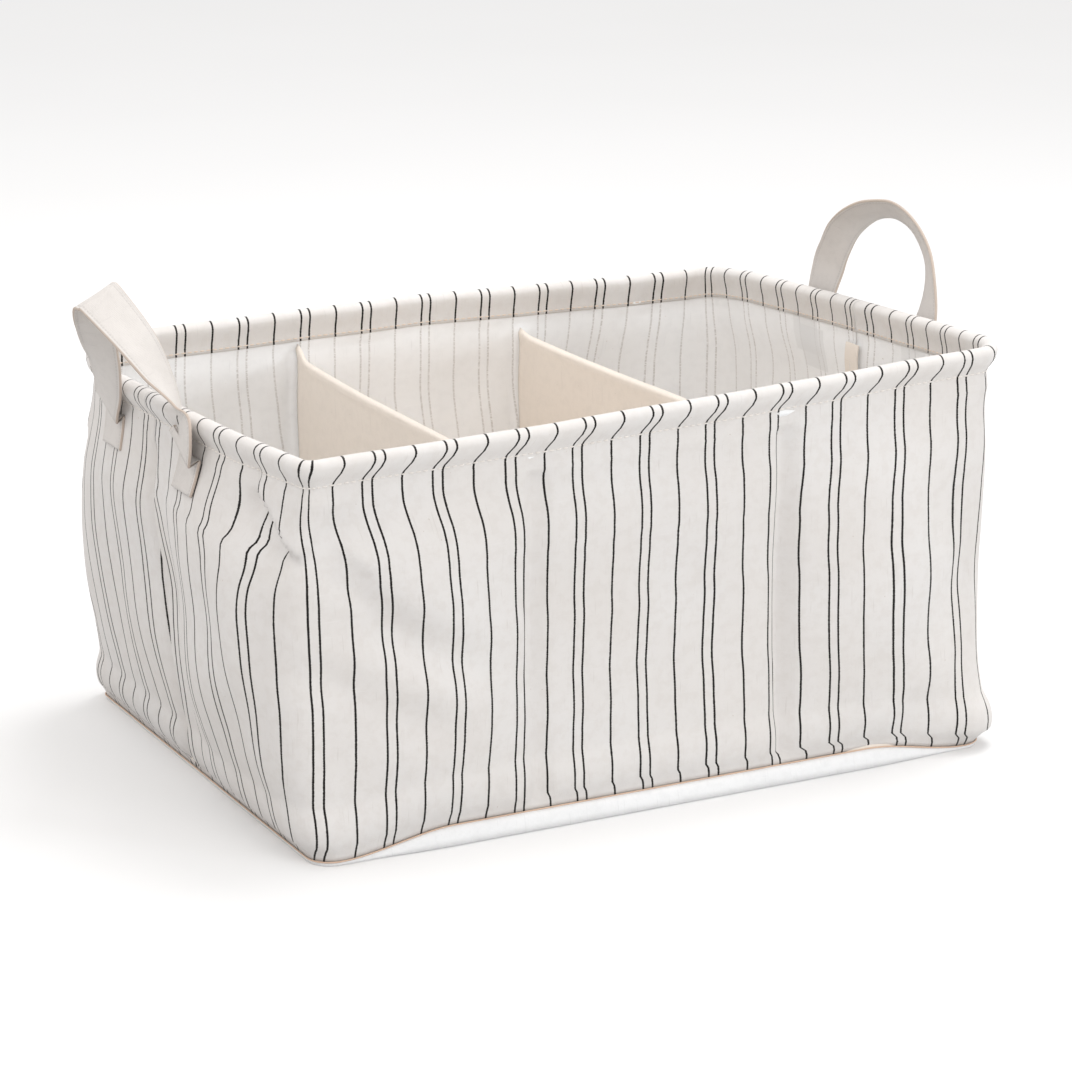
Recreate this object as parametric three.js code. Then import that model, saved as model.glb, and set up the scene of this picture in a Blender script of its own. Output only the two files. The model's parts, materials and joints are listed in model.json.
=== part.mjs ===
// Canvas storage basket with a wired rim, three compartments and two strap handles.
// Millimetres, +Z up. The origin is the middle of the underside. +X runs along the long side,
// and the front is at -Y.
import * as THREE from "three";

// Overall form of the sewn body
const RIM_LENGTH = 383;
const RIM_WIDTH = 290;
const BASE_LENGTH = 374;
const BASE_WIDTH = 290;
const RIM_CORNER_RADIUS = 24;
const BASE_CORNER_RADIUS = 12;
// The soft rim doesn't lie level: its height over the floor at each corner
const RIM_HEIGHT = { frontLeft: 195, frontRight: 210, backRight: 198, backLeft: 196 };
// How far each side bows outwards as a whole. The soft left side stands out most.
const BOW = { front: 3, right: 3, back: 3, left: 16 };
// Share of the height over which the bow grows from the straight base
const BOW_FOOT = 0.38;
// How far the walls draw in halfway up, and how far the cloth crowns out between its seams
const WAIST = 6;
const CROWN = { front: 7, right: 7, back: 7, left: 10 };

// Cloth, board and sewing
const CANVAS = 1;
const SEWN_GAP = 0.3;
const HEM_DEPTH = 15;
const HEM_CREASE = 2.4;
const CREASE_DROP = 13.2;
const HEM_FADE = 20;
const BOARD = 3;
const BOARD_EASE = 2;
const TAPE_WIDTH = 12;
const LONG_LIP = 10;
const SHORT_LIP = 2;
const LIP_TAPER = 60;
const LIP_SPREAD = 3;

// Rim wire and the sleeve that joins its ends
const WIRE = 4;
const FERRULE_WALL = 0.6;
const FERRULE_LENGTH = 30;

// Dividers: how far to its own side of the middle each one meets the front and the back wall
const LEFT_DIVIDER = { front: 76, back: 69 };
const RIGHT_DIVIDER = { front: 61, back: 65 };
const DIVIDERS = [
  { name: "divider_left", front: -LEFT_DIVIDER.front, back: -LEFT_DIVIDER.back },
  { name: "divider_right", front: RIGHT_DIVIDER.front, back: RIGHT_DIVIDER.back },
];
const DIVIDER_DROP = 25;

// Side seams, and the strap handles: places along the short sides, measured towards the back
const SEAM = { left: 5, right: -12 };
const LEFT_HANDLE_PLACE = 7;
const RIGHT_HANDLE_PLACE = -6;
const HANDLES = [
  { name: "handle_left", side: "left", centre: LEFT_HANDLE_PLACE, lean: 22 },
  { name: "handle_right", side: "right", centre: RIGHT_HANDLE_PLACE, lean: 9 },
];
const STRAP_WIDTH = 24;
const STRAP = 1.4;
const STRAP_SPREAD = 98;
const SEWN_END = 20;
const LOOP_HALF_SPAN = 57;
const LOOP_SHOULDER = 21;
const LOOP_RISE = 67;
const TWIST_START = 14;

// Steps along the cloth
const CORNER_STEPS = 6;
const LONG_STEPS = 6;
const SHORT_STEPS = 10;
const BODY_ROWS = [0, 0.07, 0.2, 0.38, 0.58, 0.78, 0.92];
const ROLL_STEPS = 6;
const WIRE_FACETS = 8;
const LOOP_STEPS = 30;

const HALF_TURN = Math.PI;
const QUARTER_TURN = Math.PI / 2;
const mix = (from, to, share) => from + (to - from) * share;
const clamp = (value, low, high) => Math.min(high, Math.max(low, value));
const ease = (share) => share * share * (3 - 2 * share);

// Materials
const material = (color, roughness, metalness) =>
  new THREE.MeshStandardMaterial({ color, roughness, metalness });
const STRIPED_CANVAS = material(0xebe5dd, 0.92, 0);
const PLAIN_CANVAS = material(0xdfd3c4, 0.94, 0);
const TAPE_COTTON = material(0xd9cbb9, 0.94, 0);
const SPRING_STEEL = material(0x8f9296, 0.35, 0.9);
const FIBRE_BOARD = material(0xb89b78, 0.85, 0);

// The four sides, counterclockwise seen from above, each with its direction and its outward normal
const SIDES = {
  front: { along: [1, 0], out: [0, -1], long: true },
  right: { along: [0, 1], out: [1, 0], long: false },
  back: { along: [-1, 0], out: [0, 1], long: true },
  left: { along: [0, -1], out: [-1, 0], long: false },
};
const SIDE_ORDER = ["front", "right", "back", "left"];

// Height of the rim's top over the floor, between the four corner heights
function rimHeight(x, y) {
  const across = clamp(x / RIM_LENGTH + 0.5, 0, 1);
  const back = clamp(y / RIM_WIDTH + 0.5, 0, 1);
  const front = mix(RIM_HEIGHT.frontLeft, RIM_HEIGHT.frontRight, across);
  const rear = mix(RIM_HEIGHT.backLeft, RIM_HEIGHT.backRight, across);
  return mix(front, rear, back);
}

// A law of height runs straight between the rows of the cloth, so that what is sewn to a wall fits
function betweenRows(share, law) {
  const rows = [...BODY_ROWS, 1];
  const row = clamp(rows.findIndex((level) => share <= level), 1, rows.length - 1);
  const place = (share - rows[row - 1]) / (rows[row] - rows[row - 1]);
  return mix(law(rows[row - 1]), law(rows[row]), place);
}

// How strongly the walls draw in and crown out: none at the base and the hem, most halfway up
function swell(share) {
  return betweenRows(share, (level) => Math.sin(HALF_TURN * level));
}

// How strongly a side bows out: none at the base, and fully over its foot
function bowing(share) {
  return betweenRows(share, (level) => Math.sin(QUARTER_TURN * Math.min(1, level / BOW_FOOT)));
}

// Plan of the body at a share of its height: 0 at the base seam, 1 at the hem
function plan(share) {
  return {
    share,
    halfLength: mix(BASE_LENGTH, RIM_LENGTH, share) / 2 - WAIST * swell(share),
    halfWidth: mix(BASE_WIDTH, RIM_WIDTH, share) / 2 - WAIST * swell(share),
    radius: mix(BASE_CORNER_RADIUS, RIM_CORNER_RADIUS, share),
  };
}

// A side's straight run ends where its corners start
function straightHalf(side, shape) {
  return (SIDES[side].long ? shape.halfLength : shape.halfWidth) - shape.radius;
}

// Seams that divide a side, as places along its direction
function seamsOf(side) {
  if (side === "front") return DIVIDERS.map((divider) => divider.front);
  if (side === "back") return DIVIDERS.map((divider) => -divider.back).reverse();
  return side === "right" ? [SEAM.right] : [-SEAM.left];
}

// Outward reach of the wall's outer face on a straight run, from the basket's middle
function reach(side, along, shape) {
  const half = straightHalf(side, shape);
  const knots = [-half, ...seamsOf(side), half];
  const next = knots.findIndex((knot) => along <= knot);
  const bay = clamp(next, 1, knots.length - 1);
  const place = clamp((along - knots[bay - 1]) / (knots[bay] - knots[bay - 1]), 0, 1);
  const crown = CROWN[side] * Math.sin(HALF_TURN * place) * swell(shape.share);
  const bowed = BOW[side] * bowing(shape.share) * (1 - (along / half) ** 2);
  return (SIDES[side].long ? shape.halfWidth : shape.halfLength) + crown + bowed;
}

// A station is a place on the way round. It gives a point of the plan and its outward normal.
function onSide(side, bay, share) {
  return (shape) => {
    const half = straightHalf(side, shape);
    const knots = [-half, ...seamsOf(side), half];
    const along = mix(knots[bay], knots[bay + 1], share);
    return sidePoint(side, along, shape);
  };
}

function sidePoint(side, along, shape) {
  const { along: run, out } = SIDES[side];
  const away = reach(side, along, shape);
  return { x: run[0] * along + out[0] * away, y: run[1] * along + out[1] * away, out };
}

function onCorner(side, share) {
  return (shape) => {
    const { along: run, out } = SIDES[side];
    const turn = QUARTER_TURN * share;
    const normal = [0, 1].map((i) => out[i] * Math.cos(turn) + run[i] * Math.sin(turn));
    const centre = [
      Math.sign(out[0] + run[0]) * (shape.halfLength - shape.radius),
      Math.sign(out[1] + run[1]) * (shape.halfWidth - shape.radius),
    ];
    const x = centre[0] + normal[0] * shape.radius;
    const y = centre[1] + normal[1] * shape.radius;
    return { x, y, out: normal };
  };
}

// Stations of one bay between two seams, and of the corner after a side. Beside a side seam
// there is one more, at the edge of its tape.
function bayRun(side, bay) {
  const steps = SIDES[side].long ? LONG_STEPS : SHORT_STEPS;
  const run = Array.from({ length: steps + 1 }, (_, i) => onSide(side, bay, i / steps));
  if (SIDES[side].long) return run;
  const edge = seamsOf(side)[0] + (bay ? 1 : -1) * (TAPE_WIDTH / 2);
  run.splice(bay ? 1 : steps, 0, (shape) => sidePoint(side, edge, shape));
  return run;
}

function cornerRun(side) {
  return Array.from({ length: CORNER_STEPS - 1 }, (_, i) => onCorner(side, (i + 1) / CORNER_STEPS));
}

function longRun(side) {
  return [0, 1, 2].flatMap((bay) => bayRun(side, bay).slice(bay ? 1 : 0));
}

// The whole way round, once
function loopRun() {
  return SIDE_ORDER.flatMap((side) => {
    const bays = SIDES[side].long ? 3 : 2;
    const stations = Array.from({ length: bays }, (_, bay) => bayRun(side, bay).slice(bay ? 1 : 0));
    return [...stations.flat(), ...cornerRun(side)];
  });
}

// Height of the base seam: the plain base turns up along the long sides and tapers to the corners
function lipHeight(station) {
  const { x, out } = station(plan(0));
  if (Math.abs(out[1]) < 1) return SHORT_LIP;
  const fromCorner = BASE_LENGTH / 2 - BASE_CORNER_RADIUS - Math.abs(x);
  return mix(SHORT_LIP, LONG_LIP, ease(clamp(fromCorner / LIP_TAPER, 0, 1)));
}

// A point of the cloth: inset from the outer face, at a share of the height or a drop below the rim
function clothPoint(station, { share = 1, drop = HEM_FADE, inset = 0, lift = 0 }) {
  const { x, y, out } = station(plan(share));
  const foot = lipHeight(station) + SEWN_GAP;
  const top = rimHeight(x, y) - drop;
  return new THREE.Vector3(x - out[0] * inset, y - out[1] * inset, mix(foot, top, share) + lift);
}

// A closed body from points and triangles, with its faces turned outwards
function body(name, points, triangles, finish) {
  const corners = triangles.map((triangle) => triangle.map((index) => points[index]));
  const volume = corners.reduce((sum, [a, b, c]) => sum + a.dot(b.clone().cross(c)), 0);
  const faces = volume > 0 ? triangles : triangles.map(([a, b, c]) => [a, c, b]);
  const geometry = new THREE.BufferGeometry();
  const positions = points.flatMap((point) => point.toArray());
  geometry.setAttribute("position", new THREE.Float32BufferAttribute(positions, 3));
  geometry.setIndex(faces.flat());
  geometry.computeVertexNormals();
  const mesh = new THREE.Mesh(geometry, finish);
  mesh.name = name;
  return mesh;
}

// A loft through rings of points: capped at both ends, or joined into a ring
function loft(name, rings, finish, { closed = false, cap = [] } = {}) {
  const count = rings[0].length;
  const triangles = [];
  const last = closed ? rings.length : rings.length - 1;
  for (let i = 0; i < last; i += 1) {
    const near = i * count;
    const far = ((i + 1) % rings.length) * count;
    for (let j = 0; j < count; j += 1) {
      const k = (j + 1) % count;
      triangles.push([near + j, far + j, far + k], [near + j, far + k, near + k]);
    }
  }
  const end = (rings.length - 1) * count;
  cap.forEach(([a, b, c]) => triangles.push([a, b, c], [end + a, end + c, end + b]));
  return body(name, rings.flat(), triangles, finish);
}

// Triangles that close a section given as flat points, turned the way the section runs
function capOf(outline) {
  const flat = outline.map(([across, up]) => new THREE.Vector2(across, up));
  const clockwise = THREE.ShapeUtils.isClockWise(flat);
  return THREE.ShapeUtils.triangulateShape(flat, []).map(([a, b, c]) => {
    const turned = THREE.ShapeUtils.isClockWise([flat[a], flat[b], flat[c]]);
    return turned === clockwise ? [a, b, c] : [a, c, b];
  });
}

const FOUR_CORNERS = capOf([[0, 0], [1, 0], [1, 1], [0, 1]]);

// Section of a wall panel from its foot up the outer face, over the wire and down the turned hem,
// then back up inside the tunnel and down the inner face
const FERRULE_RADIUS = WIRE / 2 + SEWN_GAP + FERRULE_WALL;
const TUNNEL_RADIUS = FERRULE_RADIUS + SEWN_GAP;
const ROLL_RADIUS = TUNNEL_RADIUS + CANVAS;

function rollArc(radius) {
  return Array.from({ length: ROLL_STEPS + 1 }, (_, i) => {
    const turn = (HALF_TURN * i) / ROLL_STEPS;
    const inset = ROLL_RADIUS - radius * Math.cos(turn);
    return { inset, drop: ROLL_RADIUS - radius * Math.sin(turn) };
  });
}

function wallSection() {
  const side = (inset) => BODY_ROWS.map((share) => ({ share, inset }));
  const hem = (face, fold) => [
    { drop: HEM_FADE, inset: face },
    { drop: CREASE_DROP, inset: face + HEM_CREASE },
    { drop: mix(ROLL_RADIUS, CREASE_DROP, 0.45), inset: face + fold },
  ];
  const flapFace = 2 * CANVAS + SEWN_GAP + HEM_CREASE;
  const flapMiddle = mix(2 * ROLL_RADIUS, flapFace, 0.45);
  const flapDrop = mix(ROLL_RADIUS, CREASE_DROP, 0.45);
  const flap = [
    { drop: flapDrop, inset: flapMiddle },
    { drop: CREASE_DROP, inset: flapFace },
    { drop: HEM_DEPTH, inset: flapFace },
    { drop: HEM_DEPTH, inset: flapFace - CANVAS },
    { drop: CREASE_DROP, inset: flapFace - CANVAS },
    { drop: flapDrop, inset: flapMiddle - CANVAS },
  ];
  return [
    ...side(0),
    ...hem(0, HEM_CREASE / 2),
    ...rollArc(ROLL_RADIUS),
    ...flap,
    ...rollArc(TUNNEL_RADIUS).reverse(),
    ...hem(CANVAS, HEM_CREASE / 2).reverse(),
    ...side(CANVAS).reverse(),
  ];
}

// One U-shaped panel of striped canvas with its hem
function wallPanel(name, stations) {
  const section = wallSection();
  const rings = stations.map((station) => section.map((point) => clothPoint(station, point)));
  const depth = RIM_HEIGHT.frontLeft - HEM_FADE;
  const outline = section.map(({ share = 1, drop = HEM_FADE, inset }) => [
    -inset,
    share < 1 ? share * depth : depth + HEM_FADE - drop,
  ]);
  return loft(name, rings, STRIPED_CANVAS, { cap: capOf(outline) });
}

// The panels stop a sewn gap short of each other at the side seams
function seamEnd(side, gap) {
  const along = seamsOf(side)[0] + gap;
  return (shape) => sidePoint(side, along, shape);
}

function wallFront() {
  const stations = [
    seamEnd("left", SEWN_GAP / 2),
    ...bayRun("left", 1).slice(1),
    ...cornerRun("left"),
    ...longRun("front"),
    ...cornerRun("front"),
    ...bayRun("right", 0).slice(0, -1),
    seamEnd("right", -SEWN_GAP / 2),
  ];
  return wallPanel("wall_front", stations);
}

function wallBack() {
  const stations = [
    seamEnd("right", SEWN_GAP / 2),
    ...bayRun("right", 1).slice(1),
    ...cornerRun("right"),
    ...longRun("back"),
    ...cornerRun("back"),
    ...bayRun("left", 0).slice(0, -1),
    seamEnd("left", -SEWN_GAP / 2),
  ];
  return wallPanel("wall_back", stations);
}

// The wire lies in the middle of the tunnel, and its ends meet in the ferrule at the back
function wirePoint(station) {
  return clothPoint(station, { drop: ROLL_RADIUS, inset: ROLL_RADIUS });
}

function tubeRings(centres, radius, inner = 0) {
  const path = new THREE.CatmullRomCurve3(centres);
  return centres.map((centre, i) => {
    const run = path.getTangent(i / (centres.length - 1)).normalize();
    const up = new THREE.Vector3(0, 0, 1);
    const across = new THREE.Vector3().crossVectors(run, up).normalize();
    up.crossVectors(across, run);
    const circle = (size, turn) =>
      centre
        .clone()
        .addScaledVector(across, size * Math.cos(turn))
        .addScaledVector(up, size * Math.sin(turn));
    const turns = Array.from({ length: WIRE_FACETS }, (_, k) => (2 * HALF_TURN * k) / WIRE_FACETS);
    if (!inner) return turns.map((turn) => circle(radius, turn));
    return { outer: turns.map((turn) => circle(radius, turn)), bore: turns.map((turn) => circle(inner, turn)) };
  });
}

function rimWire() {
  const middle = Math.floor(LONG_STEPS / 2);
  const loop = loopRun();
  const start = loop.findIndex((station) => station(plan(1)).out[1] === 1) + LONG_STEPS + middle;
  const order = [...loop.slice(start), ...loop.slice(0, start + 1)];
  const centres = order.map(wirePoint);
  const run = centres[1].clone().sub(centres[0]).normalize();
  centres[0].addScaledVector(run, SEWN_GAP);
  centres[centres.length - 1].addScaledVector(run, -SEWN_GAP);
  const circle = Array.from({ length: WIRE_FACETS }, (_, k) => {
    const turn = (2 * HALF_TURN * k) / WIRE_FACETS;
    return [Math.cos(turn), Math.sin(turn)];
  });
  return loft("rim_wire", tubeRings(centres, WIRE / 2), SPRING_STEEL, { cap: capOf(circle) });
}

function rimWireFerrule() {
  const loop = loopRun();
  const middle = Math.floor(LONG_STEPS / 2);
  const start = loop.findIndex((station) => station(plan(1)).out[1] === 1) + LONG_STEPS + middle;
  const joint = wirePoint(loop[start]);
  const run = wirePoint(loop[start + 1]).sub(wirePoint(loop[start - 1])).normalize();
  const ends = [-1, 1].map((way) => joint.clone().addScaledVector(run, (way * FERRULE_LENGTH) / 2));
  const rings = tubeRings(ends, FERRULE_RADIUS, FERRULE_RADIUS - FERRULE_WALL);
  const [near, far] = rings;
  return loft("rim_wire_ferrule", [near.outer, far.outer, far.bore, near.bore], SPRING_STEEL, {
    closed: true,
  });
}

// The plain base: a flat sheet whose edge turns up to the base seam all round
function basePanel() {
  const loop = loopRun();
  const spread = (station) => {
    const share = (lipHeight(station) - SHORT_LIP) / (LONG_LIP - SHORT_LIP);
    return -LIP_SPREAD * share;
  };
  const edge = (station, inset, height) => {
    const { x, y, out } = station(plan(0));
    return new THREE.Vector3(x - out[0] * inset, y - out[1] * inset, height);
  };
  const rings = [
    loop.map((station) => edge(station, spread(station), 0)),
    loop.map((station) => edge(station, 0, lipHeight(station))),
    loop.map((station) => edge(station, CANVAS, lipHeight(station))),
    loop.map((station) => edge(station, CANVAS + spread(station), CANVAS)),
  ];
  const count = loop.length;
  const points = [...rings.flat(), new THREE.Vector3(0, 0, 0), new THREE.Vector3(0, 0, CANVAS)];
  const under = rings.length * count;
  const over = under + 1;
  const triangles = [];
  for (let i = 0; i < count; i += 1) {
    const k = (i + 1) % count;
    for (let row = 0; row + 1 < rings.length; row += 1) {
      const near = row * count;
      const far = near + count;
      triangles.push([near + i, near + k, far + k], [near + i, far + k, far + i]);
    }
    const top = (rings.length - 1) * count;
    triangles.push([under, k, i], [over, top + i, top + k]);
  }
  return body("base_panel", points, triangles, PLAIN_CANVAS);
}

// A flat layer of the base, cut to a rounded rectangle
function baseLayer(name, bottom, thickness, inset, finish) {
  const halfLength = BASE_LENGTH / 2 - inset;
  const halfWidth = BASE_WIDTH / 2 - inset;
  const radius = BASE_CORNER_RADIUS;
  const outline = new THREE.Shape();
  outline.moveTo(-halfLength + radius, -halfWidth);
  outline.lineTo(halfLength - radius, -halfWidth);
  outline.absarc(halfLength - radius, -halfWidth + radius, radius, -QUARTER_TURN, 0);
  outline.absarc(halfLength - radius, halfWidth - radius, radius, 0, QUARTER_TURN);
  outline.absarc(-halfLength + radius, halfWidth - radius, radius, QUARTER_TURN, HALF_TURN);
  outline.absarc(-halfLength + radius, -halfWidth + radius, radius, HALF_TURN, 3 * QUARTER_TURN);
  const depth = { depth: thickness, bevelEnabled: false, curveSegments: CORNER_STEPS };
  const mesh = new THREE.Mesh(new THREE.ExtrudeGeometry(outline, depth), finish);
  mesh.name = name;
  mesh.position.z = bottom;
  return mesh;
}

const BOARD_BOTTOM = CANVAS + SEWN_GAP;
const LINING_BOTTOM = BOARD_BOTTOM + BOARD + SEWN_GAP;
const FLOOR_TOP = LINING_BOTTOM + CANVAS;
const TAPE_BOTTOM = FLOOR_TOP + SEWN_GAP;
const TAPE_TOP = TAPE_BOTTOM + TAPE_WIDTH;
const FLOOR_INSET = CANVAS + SEWN_GAP + BOARD_EASE;

// Share of the height at which the wall passes a level on a station
function shareAt(level, foot, rim) {
  return clamp((level - foot) / (rim - HEM_FADE - foot), 0, 1);
}

// Binding over the allowances of the base seam, inside the foot of the walls. It bends where the
// cloth does: at the seam and at the first row over it.
function baseSeamTape() {
  const rings = loopRun().map((station) => {
    const { x, y } = station(plan(1));
    const foot = lipHeight(station) + SEWN_GAP;
    const rim = rimHeight(x, y);
    const point = (level, inset) => {
      const spot = clothPoint(station, { share: shareAt(level, foot, rim), inset });
      spot.z = level;
      return spot;
    };
    const seam = clamp(foot, TAPE_BOTTOM + SEWN_GAP, TAPE_TOP - 2 * SEWN_GAP);
    const row = mix(foot, rim - HEM_FADE, BODY_ROWS[1]);
    const levels = [TAPE_TOP, clamp(row, seam + SEWN_GAP, TAPE_TOP - SEWN_GAP), seam, TAPE_BOTTOM];
    const face = CANVAS + SEWN_GAP;
    return [
      ...levels.map((level) => point(level, face)),
      ...levels.map((level) => point(level, face + CANVAS)).reverse(),
    ];
  });
  return loft("base_seam_tape", rings, TAPE_COTTON, { closed: true });
}

// Inner or outer face of a wall at a place along its side and a level
function wallFace(side, along, level, inset) {
  const { along: run, out } = SIDES[side];
  const share = shareAt(level, footAt(side, along), rimAt(side, along));
  const away = reach(side, along, plan(share)) - inset;
  return new THREE.Vector3(run[0] * along + out[0] * away, run[1] * along + out[1] * away, level);
}

function rimAt(side, along) {
  const { x, y } = sidePoint(side, along, plan(1));
  return rimHeight(x, y);
}

function footAt(side, along) {
  return lipHeight((shape) => sidePoint(side, along, shape)) + SEWN_GAP;
}

// Levels from a low one to a high one with the rows of the cloth between them, top first
function levelsDown(side, along, low, high) {
  const rows = BODY_ROWS.slice(2).map((share) =>
    mix(footAt(side, along), rimAt(side, along) - HEM_FADE, share));
  return [high, ...rows.reverse(), low];
}

// A patch of cloth or tape that lies on a wall between two insets. Each place along the side
// has its own list of levels.
function wallPatch(name, side, alongs, levelsAt, insets, finish) {
  const count = levelsAt(alongs[0]).length;
  const back = [...alongs].reverse();
  const rings = Array.from({ length: count }, (_, row) => [
    ...alongs.map((along) => wallFace(side, along, levelsAt(along)[row], insets[0])),
    ...back.map((along) => wallFace(side, along, levelsAt(along)[row], insets[1])),
  ]);
  const outline = [...alongs.map((along) => [along, 0]), ...back.map((along) => [along, 1])];
  return loft(name, rings, finish, { cap: capOf(outline) });
}

// Bound allowances of a side seam, from the base tape up to the hem
function sideSeamTape(side) {
  const seam = seamsOf(side)[0];
  const alongs = [-1, 0, 1].map((way) => seam + (way * TAPE_WIDTH) / 2);
  const levelsAt = (along) =>
    levelsDown(side, along, TAPE_TOP + SEWN_GAP, rimAt(side, along) - HEM_FADE);
  const inner = CANVAS + SEWN_GAP;
  const insets = [inner, inner + CANVAS];
  return wallPatch(`side_seam_tape_${side}`, side, alongs, levelsAt, insets, TAPE_COTTON);
}

// A divider: a folded double layer between the front and the back wall. Its ends follow the
// walls, and step in at the foot to pass the base tape.
function divider({ name, front, back }) {
  const ends = { front, back: -back };
  const shoulder = TAPE_TOP + SEWN_GAP;
  const points = (side) => {
    const along = ends[side];
    const top = rimAt(side, along) - DIVIDER_DROP;
    const upper = levelsDown(side, along, shoulder, top);
    const gap = CANVAS + SEWN_GAP;
    const step = gap + CANVAS + SEWN_GAP;
    return [
      ...upper.map((level) => wallFace(side, along, level, gap)),
      wallFace(side, along, shoulder, step),
      wallFace(side, along, FLOOR_TOP + SEWN_GAP, step),
    ];
  };
  const near = points("front");
  const far = points("back");
  const run = new THREE.Vector3(back - front, BASE_WIDTH, 0).normalize();
  const across = new THREE.Vector3(run.y, -run.x, 0).setLength(CANVAS);
  const outline = [...near, ...[...far].reverse()];
  const faces = [-1, 1].map((way) => outline.map((point) => point.clone().addScaledVector(across, way)));
  const cap = capOf(outline.map((point) => [point.y, point.z]));
  return loft(name, faces, PLAIN_CANVAS, { cap });
}

// Strap loop in a plane of its own: places across, and heights over the line where it flexes
function loopCurve() {
  const foot = STRAP_SPREAD / 2;
  const waist = mix(foot, LOOP_HALF_SPAN, 0.7);
  const crest = LOOP_RISE - LOOP_SHOULDER;
  const archSteps = 6;
  const arch = Array.from({ length: archSteps + 1 }, (_, i) => {
    const turn = (HALF_TURN * i) / archSteps;
    const height = LOOP_SHOULDER + crest * Math.sin(turn);
    return new THREE.Vector3(-LOOP_HALF_SPAN * Math.cos(turn), height, 0);
  });
  const leg = (way) => [
    new THREE.Vector3(way * foot, SEWN_GAP, 0),
    new THREE.Vector3(way * foot, LOOP_SHOULDER / 4, 0),
    new THREE.Vector3(way * waist, LOOP_SHOULDER / 1.6, 0),
  ];
  return new THREE.CatmullRomCurve3([...leg(-1), ...arch, ...leg(1).reverse()]);
}

// The strap lies flat on the wall where it is sewn, and turns its edge to the wall over the arch
function strapLoop(name) {
  const curve = loopCurve();
  const length = curve.getLength();
  const outwards = new THREE.Vector3(0, 0, 1);
  const rings = Array.from({ length: LOOP_STEPS + 1 }, (_, i) => {
    const share = i / LOOP_STEPS;
    const run = curve.getTangentAt(share);
    const fromEnd = Math.min(share, 1 - share) * length;
    const twist = clamp((fromEnd - TWIST_START) / (length / 2 - TWIST_START), 0, 1);
    const angle = QUARTER_TURN * ease(twist);
    const across = new THREE.Vector3(-run.y, run.x, 0).multiplyScalar(Math.cos(angle));
    across.addScaledVector(outwards, -Math.sin(angle)).setLength(STRAP_WIDTH / 2);
    const through = new THREE.Vector3().crossVectors(run, across).setLength(STRAP / 2);
    const middle = curve.getPointAt(share).addScaledVector(outwards, -STRAP / 2);
    const corner = (wide, thick) =>
      middle.clone().addScaledVector(across, wide).addScaledVector(through, thick);
    return [corner(1, -1), corner(1, 1), corner(-1, 1), corner(-1, -1)];
  });
  return loft(name, rings, PLAIN_CANVAS, { cap: FOUR_CORNERS });
}

// Places along a side where a handle's two ends are sewn
function sewnPlaces({ side, centre }) {
  const toBack = SIDES[side].along[1];
  return [-1, 1].map((way) => toBack * (centre + (way * STRAP_SPREAD) / 2));
}

// The line on which a loop flexes: just outside the top edge of its sewn ends, taken at their
// inner edges, where a bowed wall stands out most
function flexLine(spec) {
  const [first, last] = sewnPlaces(spec);
  const inwards = (Math.sign(last - first) * STRAP_WIDTH) / 2;
  return [first + inwards, last - inwards].map((along) =>
    wallFace(spec.side, along, rimAt(spec.side, along) - HEM_DEPTH, -STRAP - 2 * SEWN_GAP));
}

// A handle is one strap, made as its free loop and its two sewn ends
function handle(spec) {
  const group = new THREE.Group();
  const [front, back] = flexLine(spec);
  const run = back.clone().sub(front).multiplyScalar(SIDES[spec.side].along[1]).normalize();
  const out = new THREE.Vector3(SIDES[spec.side].out[0], 0, 0);
  out.addScaledVector(run, -out.dot(run)).normalize();
  const up = new THREE.Vector3().crossVectors(out, run);
  const plane = new THREE.Group();
  plane.matrixAutoUpdate = false;
  plane.matrix.makeBasis(run, up, out);
  plane.matrix.setPosition(front.clone().add(back).multiplyScalar(0.5));
  const loop = strapLoop(`${spec.name}_loop`);
  loop.rotation.x = THREE.MathUtils.degToRad(spec.lean);
  plane.add(loop);
  group.add(plane);
  const ends = ["end_front", "end_back"];
  sewnPlaces(spec).forEach((middle, i) => {
    const alongs = [-1, -1 / 3, 1 / 3, 1].map((place) => middle + (place * STRAP_WIDTH) / 2);
    const levelsAt = (along) =>
      [0, 0.5, 1].map((share) => rimAt(spec.side, along) - HEM_DEPTH - share * SEWN_END);
    const insets = [-SEWN_GAP - STRAP, -SEWN_GAP];
    const name = `${spec.name}_${ends[i]}`;
    group.add(wallPatch(name, spec.side, alongs, levelsAt, insets, PLAIN_CANVAS));
  });
  return group;
}

const basket = new THREE.Group();
basket.name = "storage_basket";
basket.add(
  wallFront(),
  wallBack(),
  rimWire(),
  rimWireFerrule(),
  basePanel(),
  baseLayer("base_board", BOARD_BOTTOM, BOARD, FLOOR_INSET, FIBRE_BOARD),
  baseLayer("base_lining", LINING_BOTTOM, CANVAS, FLOOR_INSET, PLAIN_CANVAS),
  baseSeamTape(),
  sideSeamTape("left"),
  sideSeamTape("right"),
  ...DIVIDERS.map(divider),
  ...HANDLES.map(handle),
);

export default basket;
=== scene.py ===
"""Models the cloth, straps, dividers and stage of a striped canvas storage basket."""

import json
import math

import bpy
from bpy.props import FloatProperty, FloatVectorProperty, IntProperty, PointerProperty
from mathutils import Matrix, Vector, noise


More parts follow.
